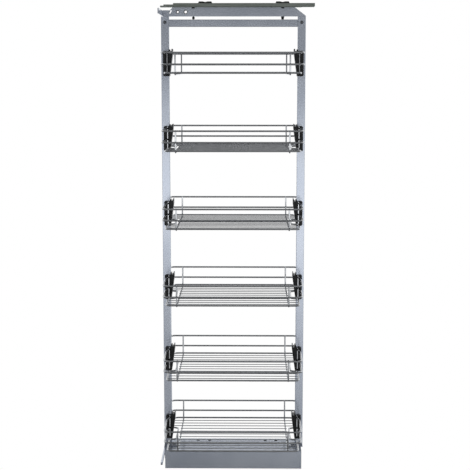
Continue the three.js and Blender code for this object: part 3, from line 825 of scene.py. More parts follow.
class Workshop:
    """Holds the frame, the finishes and the node trees, and puts finished pieces in the scene."""

    def __init__(self, frame: dict) -> None:
        """Builds every finish and node tree once.
        """
        self.frame = frame
        self.finishes = {slot: finish.build() for slot, finish in FINISHES.items()}
        self.wires = wire_tree()
        self.rows = row_tree()
        self.scatter = set_out_tree()

    def wire(self, lines: list[Line], diameter: float, slot: Slot, sides: int = 16) -> Thing:
        """Sweeps round wires along lines.

        Args:
            lines: the wires' centre lines.
            diameter: the wires' diameter in millimetres.
            slot: the finish.
            sides: facets round the wire.

        Returns:
            One object of all the wires.
        """
        points: list[Point] = []
        edges: list[tuple[int, int]] = []
        bends: list[float] = []
        for line in lines:
            first = len(points)
            points += line.points
            bends += line.bends
            edges += [(first + i, first + i + 1) for i in range(len(line.points) - 1)]
            if line.loop:
                edges.append((len(points) - 1, first))
        thing = mesh_object("wires", points, [], edges)
        bend = thing.data.attributes.new("bend", "FLOAT", "POINT")
        bend.data.foreach_set("value", [value * MM for value in bends])
        values = {"Wire Diameter": diameter * MM, "Sides": sides, "Material": self.finishes[slot]}
        return run_tree(thing, self.wires, values)

    def row(self, thing: Thing, count: int, step: Point, slot: Slot) -> Thing:
        """Repeats a shape at even steps.

        Args:
            thing: the shape.
            count: how many there are.
            step: the move from each to the next in millimetres.
            slot: the finish.

        Returns:
            The shape's own object, now with the whole row.
        """
        values = {"Count": count, "Step": Vector(step) * MM, "Material": self.finishes[slot]}
        return run_tree(thing, self.rows, values)

    def set_out(
        self, shape: Thing, name: str, places: list[Point], body: str, slot: Slot, *nodes: str
    ) -> Thing:
        """Sets a shape out at several points as one piece, and delivers it.

        Args:
            shape: the shape, which is deleted afterwards.
            name: the piece's name.
            places: the points in millimetres.
            body: the body that it moves with.
            slot: its finish.
            nodes: the frame's nodes that it replaces.

        Returns:
            The piece.
        """
        values = {"Shape": shape, "Material": self.finishes[slot]}
        whole = run_tree(mesh_object(name, places, []), self.scatter, values)
        bpy.data.objects.remove(shape)
        return self.deliver(whole, body, slot, *nodes)

    def dress(
        self,
        node: str,
        name: str,
        body: str,
        slot: Slot,
        width: float,
        segments: int = 2,
        holes: tuple[Thing, ...] = (),
    ) -> Thing:
        """Copies a frame node's shape, merges its triangles, cuts it, rounds its edges and delivers it.

        Args:
            node: the frame's node, which the piece replaces.
            name: the piece's name.
            body: the body that it moves with.
            slot: its finish.
            width: the bevel's width in millimetres.
            segments: strips in the bevel.
            holes: closed shapes to cut out before the edges are rounded.

        Returns:
            The piece.
        """
        shape = bmesh.new()
        shape.from_mesh(self.frame["nodes"][node].data)
        bmesh.ops.remove_doubles(shape, verts=shape.verts, dist=SAME_CAD_POINT)
        limit = math.radians(FLAT_FACE)
        bmesh.ops.dissolve_limit(shape, angle_limit=limit, verts=shape.verts, edges=shape.edges)
        thing = mesh_object(name, [], [])
        shape.to_mesh(thing.data)
        shape.free()
        return self.deliver(soften(carve(thing, list(holes)), width, segments), body, slot, node)

    def deliver(self, thing: Thing, body: str, slot: Slot, *nodes: str) -> Thing:
        """Gives a piece its finish, puts it on its body and hides the nodes that it stands for.

        Args:
            thing: the finished piece.
            body: the body that it moves with.
            slot: its finish.
            nodes: the frame's nodes that it replaces.

        Returns:
            The piece.
        """
        thing.data.materials.clear()
        thing.data.materials.append(self.finishes[slot])
        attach(thing, body)
        if nodes:
            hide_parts(*nodes)
        log.info("%s on %s, %d faces", thing.name, body, len(thing.data.polygons))
        return thing


# ---------------------------------------------------------------- baskets


@dataclass(frozen=True)
class Basket:
    """A welded wire basket: two rims in halves, four legs, two hoops, a floor frame and floor wires.

    Its top rim's wire is centred at height zero.
    """

    half_length: float = 237.0
    half_width: float = 198.0
    depth: float = 67.0
    mid_drop: float = 38.5
    corner: float = 18.0
    rim_wire: float = 6.0
    hoop_wire: float = 5.5
    floor_wire: float = 3.0
    weld: float = 0.6
    hoop_x: float = 191.0
    hoop_top: float = 0.6
    hoop_corner: float = 9.0
    floor_wires: int = 11
    floor_half_length: float = 227.0
    floor_short: float = 1.0
    notch_x: float = 203.0
    notch_half_width: float = 62.0
    notch_slope: float = 14.0
    notch_corner: float = 8.0
    leg_x: float = 229.0
    leg_y: float = 16.5
    leg_below: float = 6.4
    leg_above: float = 8.0
    draw_in: tuple[Flat, ...] = ((229.0, 27.0), (235.5, 46.0), (237.0, 70.0))
    draw_bend: float = 60.0

    @staticmethod
    def both_ends(quarter: list[Point]) -> list[Point]:
        """Adds the mirror image of a rear quarter's (x, y, bend radius) points, from rear to front."""
        return quarter + [(-x, y, bend) for x, y, bend in reversed(quarter)]

    def rim_half(self, side: int, z: float) -> Line:
        """Draws half of a rim, from the rear leg round a long side to the front leg.

        Args:
            side: -1 for the near side or 1 for the far side.
            z: its height.

        Returns:
            The wire's line.
        """
        quarter = [(self.leg_x, self.leg_y, 0.0)]
        quarter += [(x, y, self.draw_bend) for x, y in self.draw_in]
        quarter.append((self.half_length, self.half_width, self.corner))
        return Line.level(self.both_ends(quarter), side, z)

    def floor_frame(self) -> Line:
        """Draws the floor's outline, notched round the posts and clips.

        Returns:
            The wire's closed line.
        """
        quarter = [
            (self.notch_x, self.notch_half_width, self.notch_corner),
            (self.floor_half_length, self.notch_half_width + self.notch_slope, self.notch_corner),
            (self.floor_half_length, self.half_width, self.corner),
        ]
        far = self.both_ends(quarter)
        return Line.level(far + [(-x, -y, bend) for x, y, bend in far], 1, -self.depth, loop=True)

    def hoop(self, x: float) -> Line:
        """Draws a hoop that runs down inside the far rims, under the floor and up inside the near rims.

        Args:
            x: its place along the basket.

        Returns:
            The wire's line.
        """
        reach = (self.rim_wire + self.hoop_wire) / 2 - self.weld
        y, bottom = self.half_width - reach, -self.depth - reach
        path = [(x, y, self.hoop_top), (x, y, bottom), (x, -y, bottom), (x, -y, self.hoop_top)]
        return Line(path, [0, self.hoop_corner, self.hoop_corner, 0])

    def leg(self, end: int, side: int) -> Line:
        """Draws a leg, which hangs in its clip's groove.

        Args:
            end: -1 for the front or 1 for the rear.
            side: -1 for the near side or 1 for the far side.

        Returns:
            The wire's line.
        """
        x, y, dome = end * self.leg_x, side * self.leg_y, self.rim_wire / 2
        return Line([(x, y, dome - self.depth - self.leg_below), (x, y, self.leg_above - dome)], [0, 0])

    def floor_lines(self) -> list[Line]:
        """Draws the floor wires: those beside a post end on the hoops, the others reach the floor's frame.

        Returns:
            The wires' lines.
        """
        pitch = 2 * self.half_width / (self.floor_wires + 1)
        z = -self.depth - self.rim_wire / 2 + self.floor_wire / 2
        lines = []
        for i in range(1, self.floor_wires + 1):
            y = -self.half_width + pitch * i
            reach = self.floor_half_length - self.floor_short
            if abs(y) <= self.notch_half_width + self.notch_slope:
                reach = self.hoop_x + self.hoop_wire / 2
            lines.append(Line([(-reach, y, z), (reach, y, z)], [0, 0]))
        return lines

    def build(self, shop: Workshop) -> Thing:
        """Makes the basket.

        Args:
            shop: the workshop.

        Returns:
            One object of all its wires.
        """
        heavy = [self.rim_half(side, z) for side in (-1, 1) for z in (0.0, -self.mid_drop)]
        heavy += [self.leg(end, side) for end in (-1, 1) for side in (-1, 1)]
        heavy.append(self.floor_frame())
        hoops = [self.hoop(x) for x in (-self.hoop_x, self.hoop_x)]
        parts = [
            shop.wire(heavy, self.rim_wire, Slot.CHROME),
            shop.wire(hoops, self.hoop_wire, Slot.CHROME),
            shop.wire(self.floor_lines(), self.floor_wire, Slot.CHROME, sides=12),
        ]
        return merged("basket", parts)


@dataclass(frozen=True)
class Clip:
    """A black moulded clip that wraps a post and holds two of a basket's legs in grooves.

    Heights are over the basket's top rim. The shape is drawn at the rear post and mirrored for the front.
    """

    above: float = 7.6
    below: float = 79.0
    outer_x: float = 243.0
    outer_cut: float = 3.0
    post_face: float = 222.0
    gap: float = 0.3
    wedge_top: float = 12.5
    wedge_bottom: float = 1.5
    upright: float = 9.0
    inner_lip: Flat = (3.0, 5.4)
    inner_cut: Flat = (0.6, 1.2)
    outer_lip: Flat = (4.0, 7.4)
    outer_lip_cut: Flat = (1.0, 1.5)
    half_width: float = 20.3
    slot_half: float = 9.8
    groove_x: float = 229.0
    groove: float = 8.4
    groove_back: float = 13.2
    pocket: float = 73.7
    rib: float = 14.0
    rib_wall: float = 3.0
    first_panel: float = 20.0
    last_panel: float = 2.0
    panel_margins: Flat = (2.2, 0.5)
    panel_sink: float = 0.9
    edge: float = 0.6

    def outline(self) -> list[Flat]:
        """Draws the clip from the side, with its two lips.

        Returns:
            The outline as (x, z) points.
        """
        top, bottom, back = self.above, -self.below, self.outer_x
        (wide, tall), (cut, drop) = self.inner_lip, self.inner_cut
        touch, lip, inner = self.post_face - self.gap, self.post_face - wide, top + tall
        turn = self.outer_cut
        points = [(back, bottom + turn), (back, top - turn), (back - turn, top)]
        points += [(touch, top), (touch, inner), (lip + cut, inner), (lip, inner - drop), (lip, top)]
        (wide, tall), (cut, drop) = self.outer_lip, self.outer_lip_cut
        wedge, outer = self.post_face - self.wedge_top, top + tall
        points += [(wedge + wide, top), (wedge + wide, outer - drop), (wedge + wide - cut, outer)]
        points += [(wedge + cut, outer), (wedge, outer - drop), (wedge, top - self.upright)]
        return points + [(self.post_face - self.wedge_bottom, bottom), (back - turn, bottom)]

    def panels(self, side: int) -> list[Thing]:
        """Makes the cutters of the sunk panels between the ribs on one side of the wedge.

        Args:
            side: -1 for the near side or 1 for the far side.

        Returns:
            The cutters.
        """
        face, deep = side * self.half_width, self.panel_sink
        rise = self.above - self.upright + self.below
        slope = (self.wedge_top - self.wedge_bottom) / rise
        margin, post_margin = self.panel_margins
        cutters = []
        z = self.first_panel - self.below
        while z + self.rib - self.rib_wall < self.above - self.last_panel:
            wedge = self.wedge_bottom + slope * min(z + self.below, rise)
            limits = (self.post_face - wedge + margin, self.post_face - post_margin)
            cutters.append(block(limits, (face - deep, face + deep), (z, z + self.rib - self.rib_wall)))
            z += self.rib
        return cutters

    def build(self) -> Thing:
        """Makes the clip of a rear post with the basket's rim at height zero.

        Returns:
            The clip.
        """
        top, bottom = self.above + 2 * PAST, -self.below - 2 * PAST
        slot = (self.post_face - self.gap, self.outer_x + PAST), (-self.slot_half, self.slot_half)
        tools = [block(*slot, (bottom, top))]
        groove = self.groove_x - self.groove / 2, self.groove_x + self.groove / 2
        for side in (-1, 1):
            reach = sorted((side * self.groove_back, side * (self.half_width + PAST)))
            tools.append(block(groove, tuple(reach), (-self.pocket, top)))
            tools += self.panels(side)
        clip = prism("clip", self.outline(), "y", -self.half_width, self.half_width)
        return soften(carve(clip, tools), self.edge)


@dataclass(frozen=True)
class BasketSet:
    """The six baskets, each hung in two clips."""

    count: int = 6
    basket: Basket = Basket()
    clip: Clip = Clip()

    def build(self, shop: Workshop) -> None:
        """Makes the baskets and clips at the heights of the frame's own baskets.

        Args:
            shop: the workshop.
        """
        basket = self.basket.build(shop)
        rear = self.clip.build()
        front = moved(copy_of(rear, "clip_front"), Matrix.Scale(-1, 4, Vector((1, 0, 0))))
        for i in range(1, self.count + 1):
            node = f"basket_{i}"
            rim = node_box(node)[1].z - self.basket.leg_above
            shop.deliver(copy_of(basket, f"wire_{node}", (0, 0, rim)), node, Slot.CHROME, node)
            for end, clip in zip(ENDS, (front, rear)):
                piece = copy_of(clip, f"basket_clip_{i}_{end}", (0, 0, rim))
                shop.deliver(piece, "frame", Slot.PLASTIC, f"clip_{i}_{end}")
        for thing in (basket, rear, front):
            bpy.data.objects.remove(thing)


# ---------------------------------------------------------------- screws


class Drive(Enum):
    """The recess in a screw's head, by its number of sides or arms."""

    HEXAGON = 6
    CROSS = 4


@dataclass(frozen=True)
class Screw:
    """A screw with a domed or countersunk head and a recess, drawn head up with its seat at the origin.

    A countersunk head's flat face lies at the origin instead. A dome's radius and height are each given as
    two shares of the head's, one for its flat or its rim and one for its curve. The recess's are shares too.
    """

    head: float
    head_height: float
    shank: float
    length: float
    drive: Drive = Drive.HEXAGON
    countersunk: bool = False
    dome_radius: Flat = (0.55, 0.45)
    dome_height: Flat = (0.3, 0.7)
    dome_steps: int = 6
    socket_share: float = 0.5
    cross_share: Flat = (0.55, 0.13)
    recess_depth: float = 0.65
    tip_cut: Flat = (0.5, 0.6)
    rim_cut: Flat = (0.2, 0.25)
    sunk_rim: float = 0.1
    edge: float = 0.15

    def profile(self) -> list[Flat]:
        """Draws half of the screw's section.

        Returns:
            (radius, height) points from the axis at its tip to the axis on its head.
        """
        radius, height, shank = self.head / 2, self.head_height, self.shank / 2
        (inward, upward), under = self.tip_cut, -self.length
        tip = [(0.0, under), (shank - inward, under), (shank, under + upward)]
        if self.countersunk:
            rim = radius - self.sunk_rim
            return tip + [(shank, -height), (rim, -self.sunk_rim), (rim, 0.0), (0.0, 0.0)]
        inward, upward = self.rim_cut
        dome = []
        (flat, curve), (rim, rise) = self.dome_radius, self.dome_height
        for k in range(self.dome_steps + 1):
            angle = math.pi / 2 * k / self.dome_steps
            dome.append((radius * (flat + curve * math.cos(angle)), height * (rim + rise * math.sin(angle))))
        return tip + [(shank, -0.02), (radius - inward, 0.0), (radius, upward), *dome, (0.0, height)]

    def recess(self) -> list[Thing]:
        """Makes the cutters of the recess in the head.

        Returns:
            The cutters.
        """
        radius, top = self.head / 2, 0.0 if self.countersunk else self.head_height
        floor, over = top - self.head_height * self.recess_depth, top + 2 * PAST
        if self.drive is Drive.HEXAGON:
            wide = radius * self.socket_share
            return [turned("socket", [(0, floor), (wide, floor), (wide, over), (0, over)], self.drive.value)]
        long, thin = (radius * share for share in self.cross_share)
        arms = ((-long, long), (-thin, thin)), ((-thin, thin), (-long, long))
        return [block(x, y, (floor, over)) for x, y in arms]

    def build(self, name: str) -> Thing:
        """Makes the screw.

        Args:
            name: the object's name.

        Returns:
            The screw, with its shank below the origin.
        """
        return soften(carve(turned(name, self.profile()), self.recess()), self.edge, angle=STEEP)


# ---------------------------------------------------------------- ball slides


class Side(Enum):
    """How a ball slide is fixed: on the tray's near or far wall, or flat under the cabinet's top."""

    NEAR = -1
    FAR = 1
    FLAT = 0


@dataclass(frozen=True)
class SlidePlace:
    """Where a ball slide's section lies: its fixed face and its middle line."""

    side: Side
    face: float
    middle: float = 0.0

    def at(self, depth: float, height: float) -> Flat:
        """Finds a point of the slide's section in the frame.

        Args:
            depth: the point's depth from the fixed face.
            height: its height from the middle line.

        Returns:
            Its (y, z).
        """
        if self.side is Side.FLAT:
            return self.middle + height, self.face - depth
        return self.side.value * (self.face - depth), self.middle + height


@dataclass(frozen=True)
class BallCage:
    """A pressed strip with two flanges, each holding a row of balls.

    Depths are from the slide's fixed face, and the row is its distance from the slide's middle line.
    """

    web: float
    tip: float
    row: float
    ball_depth: float
    thickness: float = 0.8
    ball: float = 3.0
    balls: int = 13
    margin: float = 10.0
    arc_steps: int = 8
    edge: float = 0.12

    def build(self, shop: Workshop, node: str, place: SlidePlace) -> Thing:
        """Makes a cage between the ends of its node.

        Args:
            shop: the workshop.
            node: the frame's node.
            place: where the slide lies.

        Returns:
            The cage with its balls.
        """
        low, high, _ = node_box(node)
        web, tip, row = self.web, self.tip, self.row
        wall, arm = web + self.thickness, self.thickness / 2
        section = [(web, -row - arm), (tip, -row - arm), (tip, -row + arm), (wall, -row + arm)]
        section += [(wall, row - arm), (tip, row - arm), (tip, row + arm), (web, row + arm)]
        outline = [place.at(depth, height) for depth, height in section]
        pieces = [soften(prism("strip", outline, "x", low.x, high.x), self.edge)]
        step = (high.x - low.x - 2 * self.margin) / (self.balls - 1)
        for height in (-row, row):
            lane = shop.row(self.one_ball(), self.balls, (step, 0, 0), Slot.STEEL)
            pieces.append(moved(lane, shift(low.x + self.margin, *place.at(self.ball_depth, height))))
        return merged(f"caged_balls_{node}", pieces)

    def one_ball(self) -> Thing:
        """Makes one ball at the origin.

        Returns:
            The ball.
        """
        radius = self.ball / 2
        angles = [math.pi * (k / self.arc_steps - 0.5) for k in range(1, self.arc_steps)]
        arc = [(radius * math.cos(angle), radius * math.sin(angle)) for angle in angles]
        return turned("ball", [(0.0, -radius), *arc, (0.0, radius)], 12)


@dataclass(frozen=True)
class BallSlide:
    """One full-extension slide: three rolled channels, nested, with two cages of balls between them.

    Each channel and cage is given as its node and its body.
    """

    place: SlidePlace
    channels: tuple[tuple[str, str], ...]
    outer_cage: tuple[str, str]
    inner_cage: tuple[str, str]
    edge: float = 0.4
    outer: BallCage = BallCage(web=2.45, tip=10.2, row=19.5, ball_depth=8.2)
    inner: BallCage = BallCage(web=6.4, tip=9.9, row=14.7, ball_depth=8.9)

    def build(self, shop: Workshop) -> None:
        """Makes the channels and cages.

        Args:
            shop: the workshop.
        """
        for node, body in self.channels:
            shop.dress(node, f"rolled_{node}", body, Slot.ZINC, self.edge)
        for cage, (node, body) in ((self.outer, self.outer_cage), (self.inner, self.inner_cage)):
            shop.deliver(cage.build(shop, node, self.place), body, Slot.STEEL, node)


def tray_slide(side: Side) -> BallSlide:
    """Describes the slide on one wall of the floor tray.

    Args:
        side: which wall.

    Returns:
        The slide.
    """
    name = side.name.lower()
    bodies = {"base_rail": "base", "base_mid": "base_mid", "base_inner": "frame"}
    channels = tuple((f"{part}_{name}", body) for part, body in bodies.items())
    outer, inner = ((f"{part}_{name}", part) for part in ("base_cage_outer", "base_cage_inner"))
    return BallSlide(SlidePlace(side, face=69.7, middle=34.5), channels, outer, inner)


# ---------------------------------------------------------------- floor tray


@dataclass(frozen=True)
class FloorTray:
    """The folded floor tray with its floor screws, and a black cup in each access hole as painted shade of
    the hole.

    A cup is given by its diameter, wall and depth.
    """

    fold: float = 0.9
    hole: float = 12.6
    hole_depth: float = 5.0
    hole_y: float = 49.0
    holes_x: tuple[float, ...] = (-130.0, -88.0, 116.2, 155.2)
    shade_cup: Point = (12.4, 0.5, 5.0)
    shade_cup_sink: float = 0.3
    screws: int = 4
    screw: Screw = Screw(9, 2.5, 4.5, 2, Drive.CROSS)

    def build(self, shop: Workshop) -> None:
        """Makes the tray, the cups and the screws.

        Args:
            shop: the workshop.
        """
        y, top = self.hole_y, node_box("base_tray")[1].z
        ends = top - self.hole_depth, top + 2 * PAST
        holes = tuple(rod(self.hole, (x, y, ends[0]), (x, y, ends[1])) for x in self.holes_x)
        shop.dress("base_tray", "folded_tray", "base", Slot.PAINT, self.fold, holes=holes)
        # The black cups are painted shade: they darken the access holes, as the shade inside them would.
        wide, wall, deep = self.shade_cup
        outer, inner, floor = wide / 2, wide / 2 - wall, wall - deep
        cup = [(0.0, -deep), (outer, -deep), (outer, -0.1), (inner, 0.0), (inner, floor), (0.0, floor)]
        shade_cups = [(x, y, top - self.shade_cup_sink) for x in self.holes_x]
        shop.set_out(turned("access_plug", cup, 24), "access_plugs", shade_cups, "base", Slot.PLASTIC)
        nodes = [f"floor_screw_{i + 1}" for i in range(self.screws)]
        boxes = [node_box(node) for node in nodes]
        seats = [(mid.x, mid.y, high.z - self.screw.head_height) for _, high, mid in boxes]
        screw = self.screw.build("floor_screw")
        shop.set_out(screw, "floor_screws", seats, "base", Slot.STEEL, *nodes)


# ---------------------------------------------------------------- moving frame


@dataclass(frozen=True)
class Tube:
    """A rectangular tube with round corners, drawn along an axis."""

    width: float
    depth: float
    wall: float
    radius: float

    def build(self, name: str, axis: str, middle: Flat, start: float, end: float) -> Thing:
        """Makes the tube.

        Args:
            name: the object's name.
            axis: "x", "y" or "z".
            middle: its middle in the plane across the axis.
            start: where it starts along the axis.
            end: where it ends.

        Returns:
            The open tube, with sharp ends.
        """
        u, v = middle
        walls = 2 * self.wall
        around = rounded_rectangle(self.width, self.depth, self.radius)
        inside = rounded_rectangle(self.width - walls, self.depth - walls, self.radius - self.wall / 2)
        tube = prism(name, [(u + a, v + b) for a, b in around], axis, start, end)
        bore = prism("bore", [(u + a, v + b) for a, b in inside], axis, start - PAST, end + PAST)
        return carve(tube, [bore])


@dataclass(frozen=True)
class MovingFrame:
    """The beam in the tray, the post feet, the two posts and the bar between their tops."""

    fold: float = 0.8
    edge: float = 0.3
    post: Tube = Tube(28, 19, 1.5, 2.6)
    bar: Tube = Tube(15, 25, 1.5, 2.2)
    screw_hole: float = 6.6
    screw_hole_depth: float = 4.0
    foot_screw: Screw = Screw(15, 4.5, 8, 12)
    set_screw: Screw = Screw(11, 3, 6, 1.8)
    # A darker zinc for the set screws: painted shade, standing in for the dark of their recesses.
    recess_shade_dark: Finish = replace(CLEAR_ZINC, name="blacked_steel", light="6A6D70", roughness=(0.2, 0.34))

    def build(self, shop: Workshop) -> None:
        """Makes the frame's parts.

        Args:
            shop: the workshop.
        """
        for node in ("base_beam", "post_foot_front", "post_foot_rear"):
            shop.dress(node, f"folded_{node}", "frame", Slot.PAINT, self.fold)
        low, high, mid = node_box("cross_bar")
        bar = self.bar.build("cross_tube", "x", (0, mid.z), low.x, high.x)
        shop.deliver(soften(bar, self.edge, angle=STEEP), "frame", Slot.PAINT, "cross_bar")
        for end in ENDS:
            self.build_post(shop, end)
        self.build_screws(shop)

    def build_post(self, shop: Workshop, end: str) -> None:
        """Makes one post, with the hole for its set screw.

        Args:
            shop: the workshop.
            end: "front" or "rear".
        """
        low, high, mid = node_box(f"post_{end}")
        z = node_box(f"set_screw_{end}")[2].z
        post = self.post.build(f"tube_post_{end}", "z", (mid.x, 0), low.z, high.z)
        near, deep = (mid.x, low.y - PAST, z), (mid.x, low.y + self.screw_hole_depth, z)
        carve(post, [rod(self.screw_hole, near, deep)])
        shop.deliver(soften(post, self.edge, angle=STEEP), "frame", Slot.PAINT, f"post_{end}")

    def build_screws(self, shop: Workshop) -> None:
        """Sets out the foot screws, and the set screws in a darker zinc finish that is painted shade of their
        recesses.

        Args:
            shop: the workshop.
        """
        feet = [f"foot_bolt_{end}" for end in ENDS]
        seats = [(mid.x, 0, high.z - self.foot_screw.head_height) for _, high, mid in map(node_box, feet)]
        shop.set_out(self.foot_screw.build("foot_screw"), "foot_screws", seats, "frame", Slot.STEEL, *feet)
        sets = [f"set_screw_{end}" for end in ENDS]
        faces = [(mid.x, low.y + self.set_screw.head_height, mid.z) for low, _, mid in map(node_box, sets)]
        screw = moved(self.set_screw.build("set_screw"), facing((0, 0, 0), (0, -1, 0)))
        screws = shop.set_out(screw, "set_screws", faces, "frame", Slot.STEEL, *sets)
        # The set screws get the darker zinc as painted shade of their recesses.
        screws.data.materials[0] = self.recess_shade_dark.build()


# ---------------------------------------------------------------- head


@dataclass(frozen=True)
class Head:
    """The head over the posts: a folded closed plate, two telescopic legs and two black studs.

    The nose is given by its height, its length and the slope behind it, the chamfer by its length and its
    height, each hole by its distance from the front and its diameter, the slot by its distance, width,
    length and lean in radians, a collar by how much wider it is than its hole and how far it stands proud,
    a cap by its width, its height and how far it stands proud, and a stud's shank by its radius and the cut
    at its end.
    """

    front: float = -243.0
    rear: float = 250.0
    bottom: float = 1596.0
    top: float = 1627.0
    half_depth: float = 9.5
    wall: float = 1.5
    tab: float = 3.0
    nose: Point = (21.0, 24.0, 10.0)
    chamfer: Flat = (38.0, 29.0)
    chamfer_inset: Flat = (0.5, 0.3)
    holes: tuple[Flat, ...] = ((51.0, 8.0), (78.5, 10.0))
    hole_drop: float = 15.5
    slot: tuple[float, float, float, float] = (26.0, 5.5, 13.0, 0.5)
    slot_flat: float = 0.1
    collar: Flat = (4.0, 0.5)
    collar_sleeve: float = 0.3
    collar_round: float = 0.4
    cap: Point = (10.0, 4.2, 3.0)
    cap_sink: float = 0.3
    cap_rise: float = 0.1
    ball: tuple[Flat, ...] = (
        (0.0, 0.0), (2.4, 0.2), (3.8, 1.1), (4.6, 2.8), (4.7, 4.7), (4.6, 6.6), (3.8, 8.4), (2.5, 9.4),
    )
    cone: tuple[Flat, ...] = ((0.0, 0.0), (3.4, 0.0), (4.2, 0.8), (5.9, 8.7), (5.9, 9.5), (2.5, 9.5))
    shank: Flat = (2.5, 0.6)
    bolt_z: float = 1607.0
    bolt_hole: float = 6.6
    stud_hole: float = 5.6
    leg: Tube = Tube(24.4, 15.4, 1.5, 2.0)
    edge: float = 0.7
    leg_edge: float = 0.3
    stud_edge: float = 0.2

    def outline(self, inset: float) -> list[Flat]:
        """Draws the plate from the side, with its notched nose and cut rear corner.

        Args:
            inset: 0 for the outside, or the wall for the hollow inside.

        Returns:
            The outline as (x, z) points.
        """
        tall, long, slope = self.nose
        back, down = self.chamfer
        along, under = self.chamfer_inset
        front = self.front + (self.tab if inset else 0)
        shoulder = self.front + long + inset
        return [
            (front, self.bottom + inset),
            (self.rear - inset, self.bottom + inset),
            (self.rear - inset, self.top - down - inset * under),
            (self.rear - back - inset * along, self.top - inset),
            (shoulder + slope, self.top - inset),
            (shoulder, self.bottom + tall - inset),
            (front, self.bottom + tall - inset),
        ]

    def build(self, shop: Workshop) -> None:
        """Makes the head's parts.

        Args:
            shop: the workshop.
        """
        self.build_plate(shop)
        for end in ENDS:
            low, high, mid = node_box(f"head_leg_{end}")
            tube = self.leg.build(f"telescopic_leg_{end}", "z", (mid.x, 0), low.z, high.z)
            shop.deliver(soften(tube, self.leg_edge, angle=STEEP), "head", Slot.STEEL, f"head_leg_{end}")
        self.build_studs(shop)

    def build_plate(self, shop: Workshop) -> None:
        """Makes the plate with its holes, and the collars pressed in the round ones, black as a painted
        shadow round each hole.

        Args:
            shop: the workshop.
        """
        deep, z = self.half_depth, self.top - self.hole_drop
        through = -deep - PAST, deep + PAST
        tools = [prism("hollow", self.outline(self.wall), "y", self.wall - deep, deep - self.wall)]
        collars = []
        for inset, diameter in self.holes:
            x = self.front + inset
            tools.append(rod(diameter, (x, through[0], z), (x, through[1], z)))
            collars += [self.build_collar(diameter, (x, side * deep, z), side) for side in (-1, 1)]
        inset, width, length, lean = self.slot
        slot = prism("slot", rounded_rectangle(width, length, width / 2 - self.slot_flat), "y", *through)
        tools.append(moved(slot, shift(self.front + inset, 0, z) @ Matrix.Rotation(lean, 4, "Y")))
        bolt = self.front - PAST, self.front + self.tab + PAST
        tools.append(rod(self.bolt_hole, (bolt[0], 0, self.bolt_z), (bolt[1], 0, self.bolt_z)))
        for node in ("ball_stud", "cone_stud"):
            x = node_box(node)[2].x
            tools.append(rod(self.stud_hole, (x, 0, self.bottom - PAST), (x, 0, self.top + PAST)))
        plate = carve(prism("folded_head_plate", self.outline(0), "y", -deep, deep), tools)
        shop.deliver(soften(plate, self.edge), "head", Slot.PAINT, "head_plate")
        # The collars take the black plastic finish as painted shadow: a dark ring round each round hole.
        shop.deliver(merged("hole_collars", collars), "head", Slot.PLASTIC)

    def build_collar(self, diameter: float, at: Point, side: int) -> Thing:
        """Makes one collar on a face of the plate.

        Args:
            diameter: the hole's diameter.
            at: the hole's middle on the face.
            side: -1 for the near face or 1 for the far face.

        Returns:
            The collar.
        """
        extra, proud = self.collar
        inner, outer = diameter / 2, diameter / 2 + extra / 2
        curve, sleeve = self.collar_round, inner + self.collar_sleeve
        profile = [(inner, -self.wall), (inner, proud * 0.6), (inner + curve, proud), (outer - curve, proud)]
        profile += [(outer, proud * 0.2), (outer, 0.0), (sleeve, 0.0), (sleeve, -self.wall)]
        return moved(turned("collar", profile + profile[:1]), facing(at, (0, side, 0)))

    def build_studs(self, shop: Workshop) -> None:
        """Makes the studs, and the black caps that hold their tops to both faces of the plate.

        Args:
            shop: the workshop.
        """
        (wide, tall, proud), (shank, cut) = self.cap, self.shank
        caps = []
        for node, tip in (("ball_stud", self.ball), ("cone_stud", self.cone)):
            low, high, mid = node_box(node)
            length = high.z - low.z
            end = [(shank, length - cut), (shank - cut, length), (0.0, length)]
            stud = turned(f"moulded_{node}", [*tip, *end])
            stud = soften(moved(stud, shift(mid.x, 0, low.z)), self.stud_edge, angle=60)
            shop.deliver(stud, "head", Slot.PLASTIC, node)
            for side in (-1, 1):
                reach = sorted((side * (self.half_depth - self.cap_sink), side * (self.half_depth + proud)))
                heights = self.top - tall, self.top + self.cap_rise
                cap = block((mid.x - wide / 2, mid.x + wide / 2), tuple(reach), heights)
                caps.append(soften(cap, self.edge))
        shop.deliver(merged("stud_caps", caps), "head", Slot.PLASTIC)


@dataclass(frozen=True)
class TopSlide:
    """The slide that lies flat on the head, and the black blocks that hold it to the cabinet's top."""

    block_edge: float = 0.9
    slide: BallSlide = BallSlide(
        SlidePlace(Side.FLAT, face=1640.7),
        (("top_slide_inner", "head"), ("top_slide_mid", "top_mid"), ("top_slide_cabinet", "cabinet_rail")),
        ("top_cage_outer", "top_cage_outer"),
        ("top_cage_inner", "top_cage_inner"),
    )

    def build(self, shop: Workshop) -> None:
        """Makes the slide and its blocks.

        Args:
            shop: the workshop.
        """
        self.slide.build(shop)
        for end in ENDS:
            node = f"mounting_block_{end}"
            shop.dress(node, f"moulded_{node}", "cabinet_rail", Slot.PLASTIC, self.block_edge, segments=3)


# ---------------------------------------------------------------- door brackets


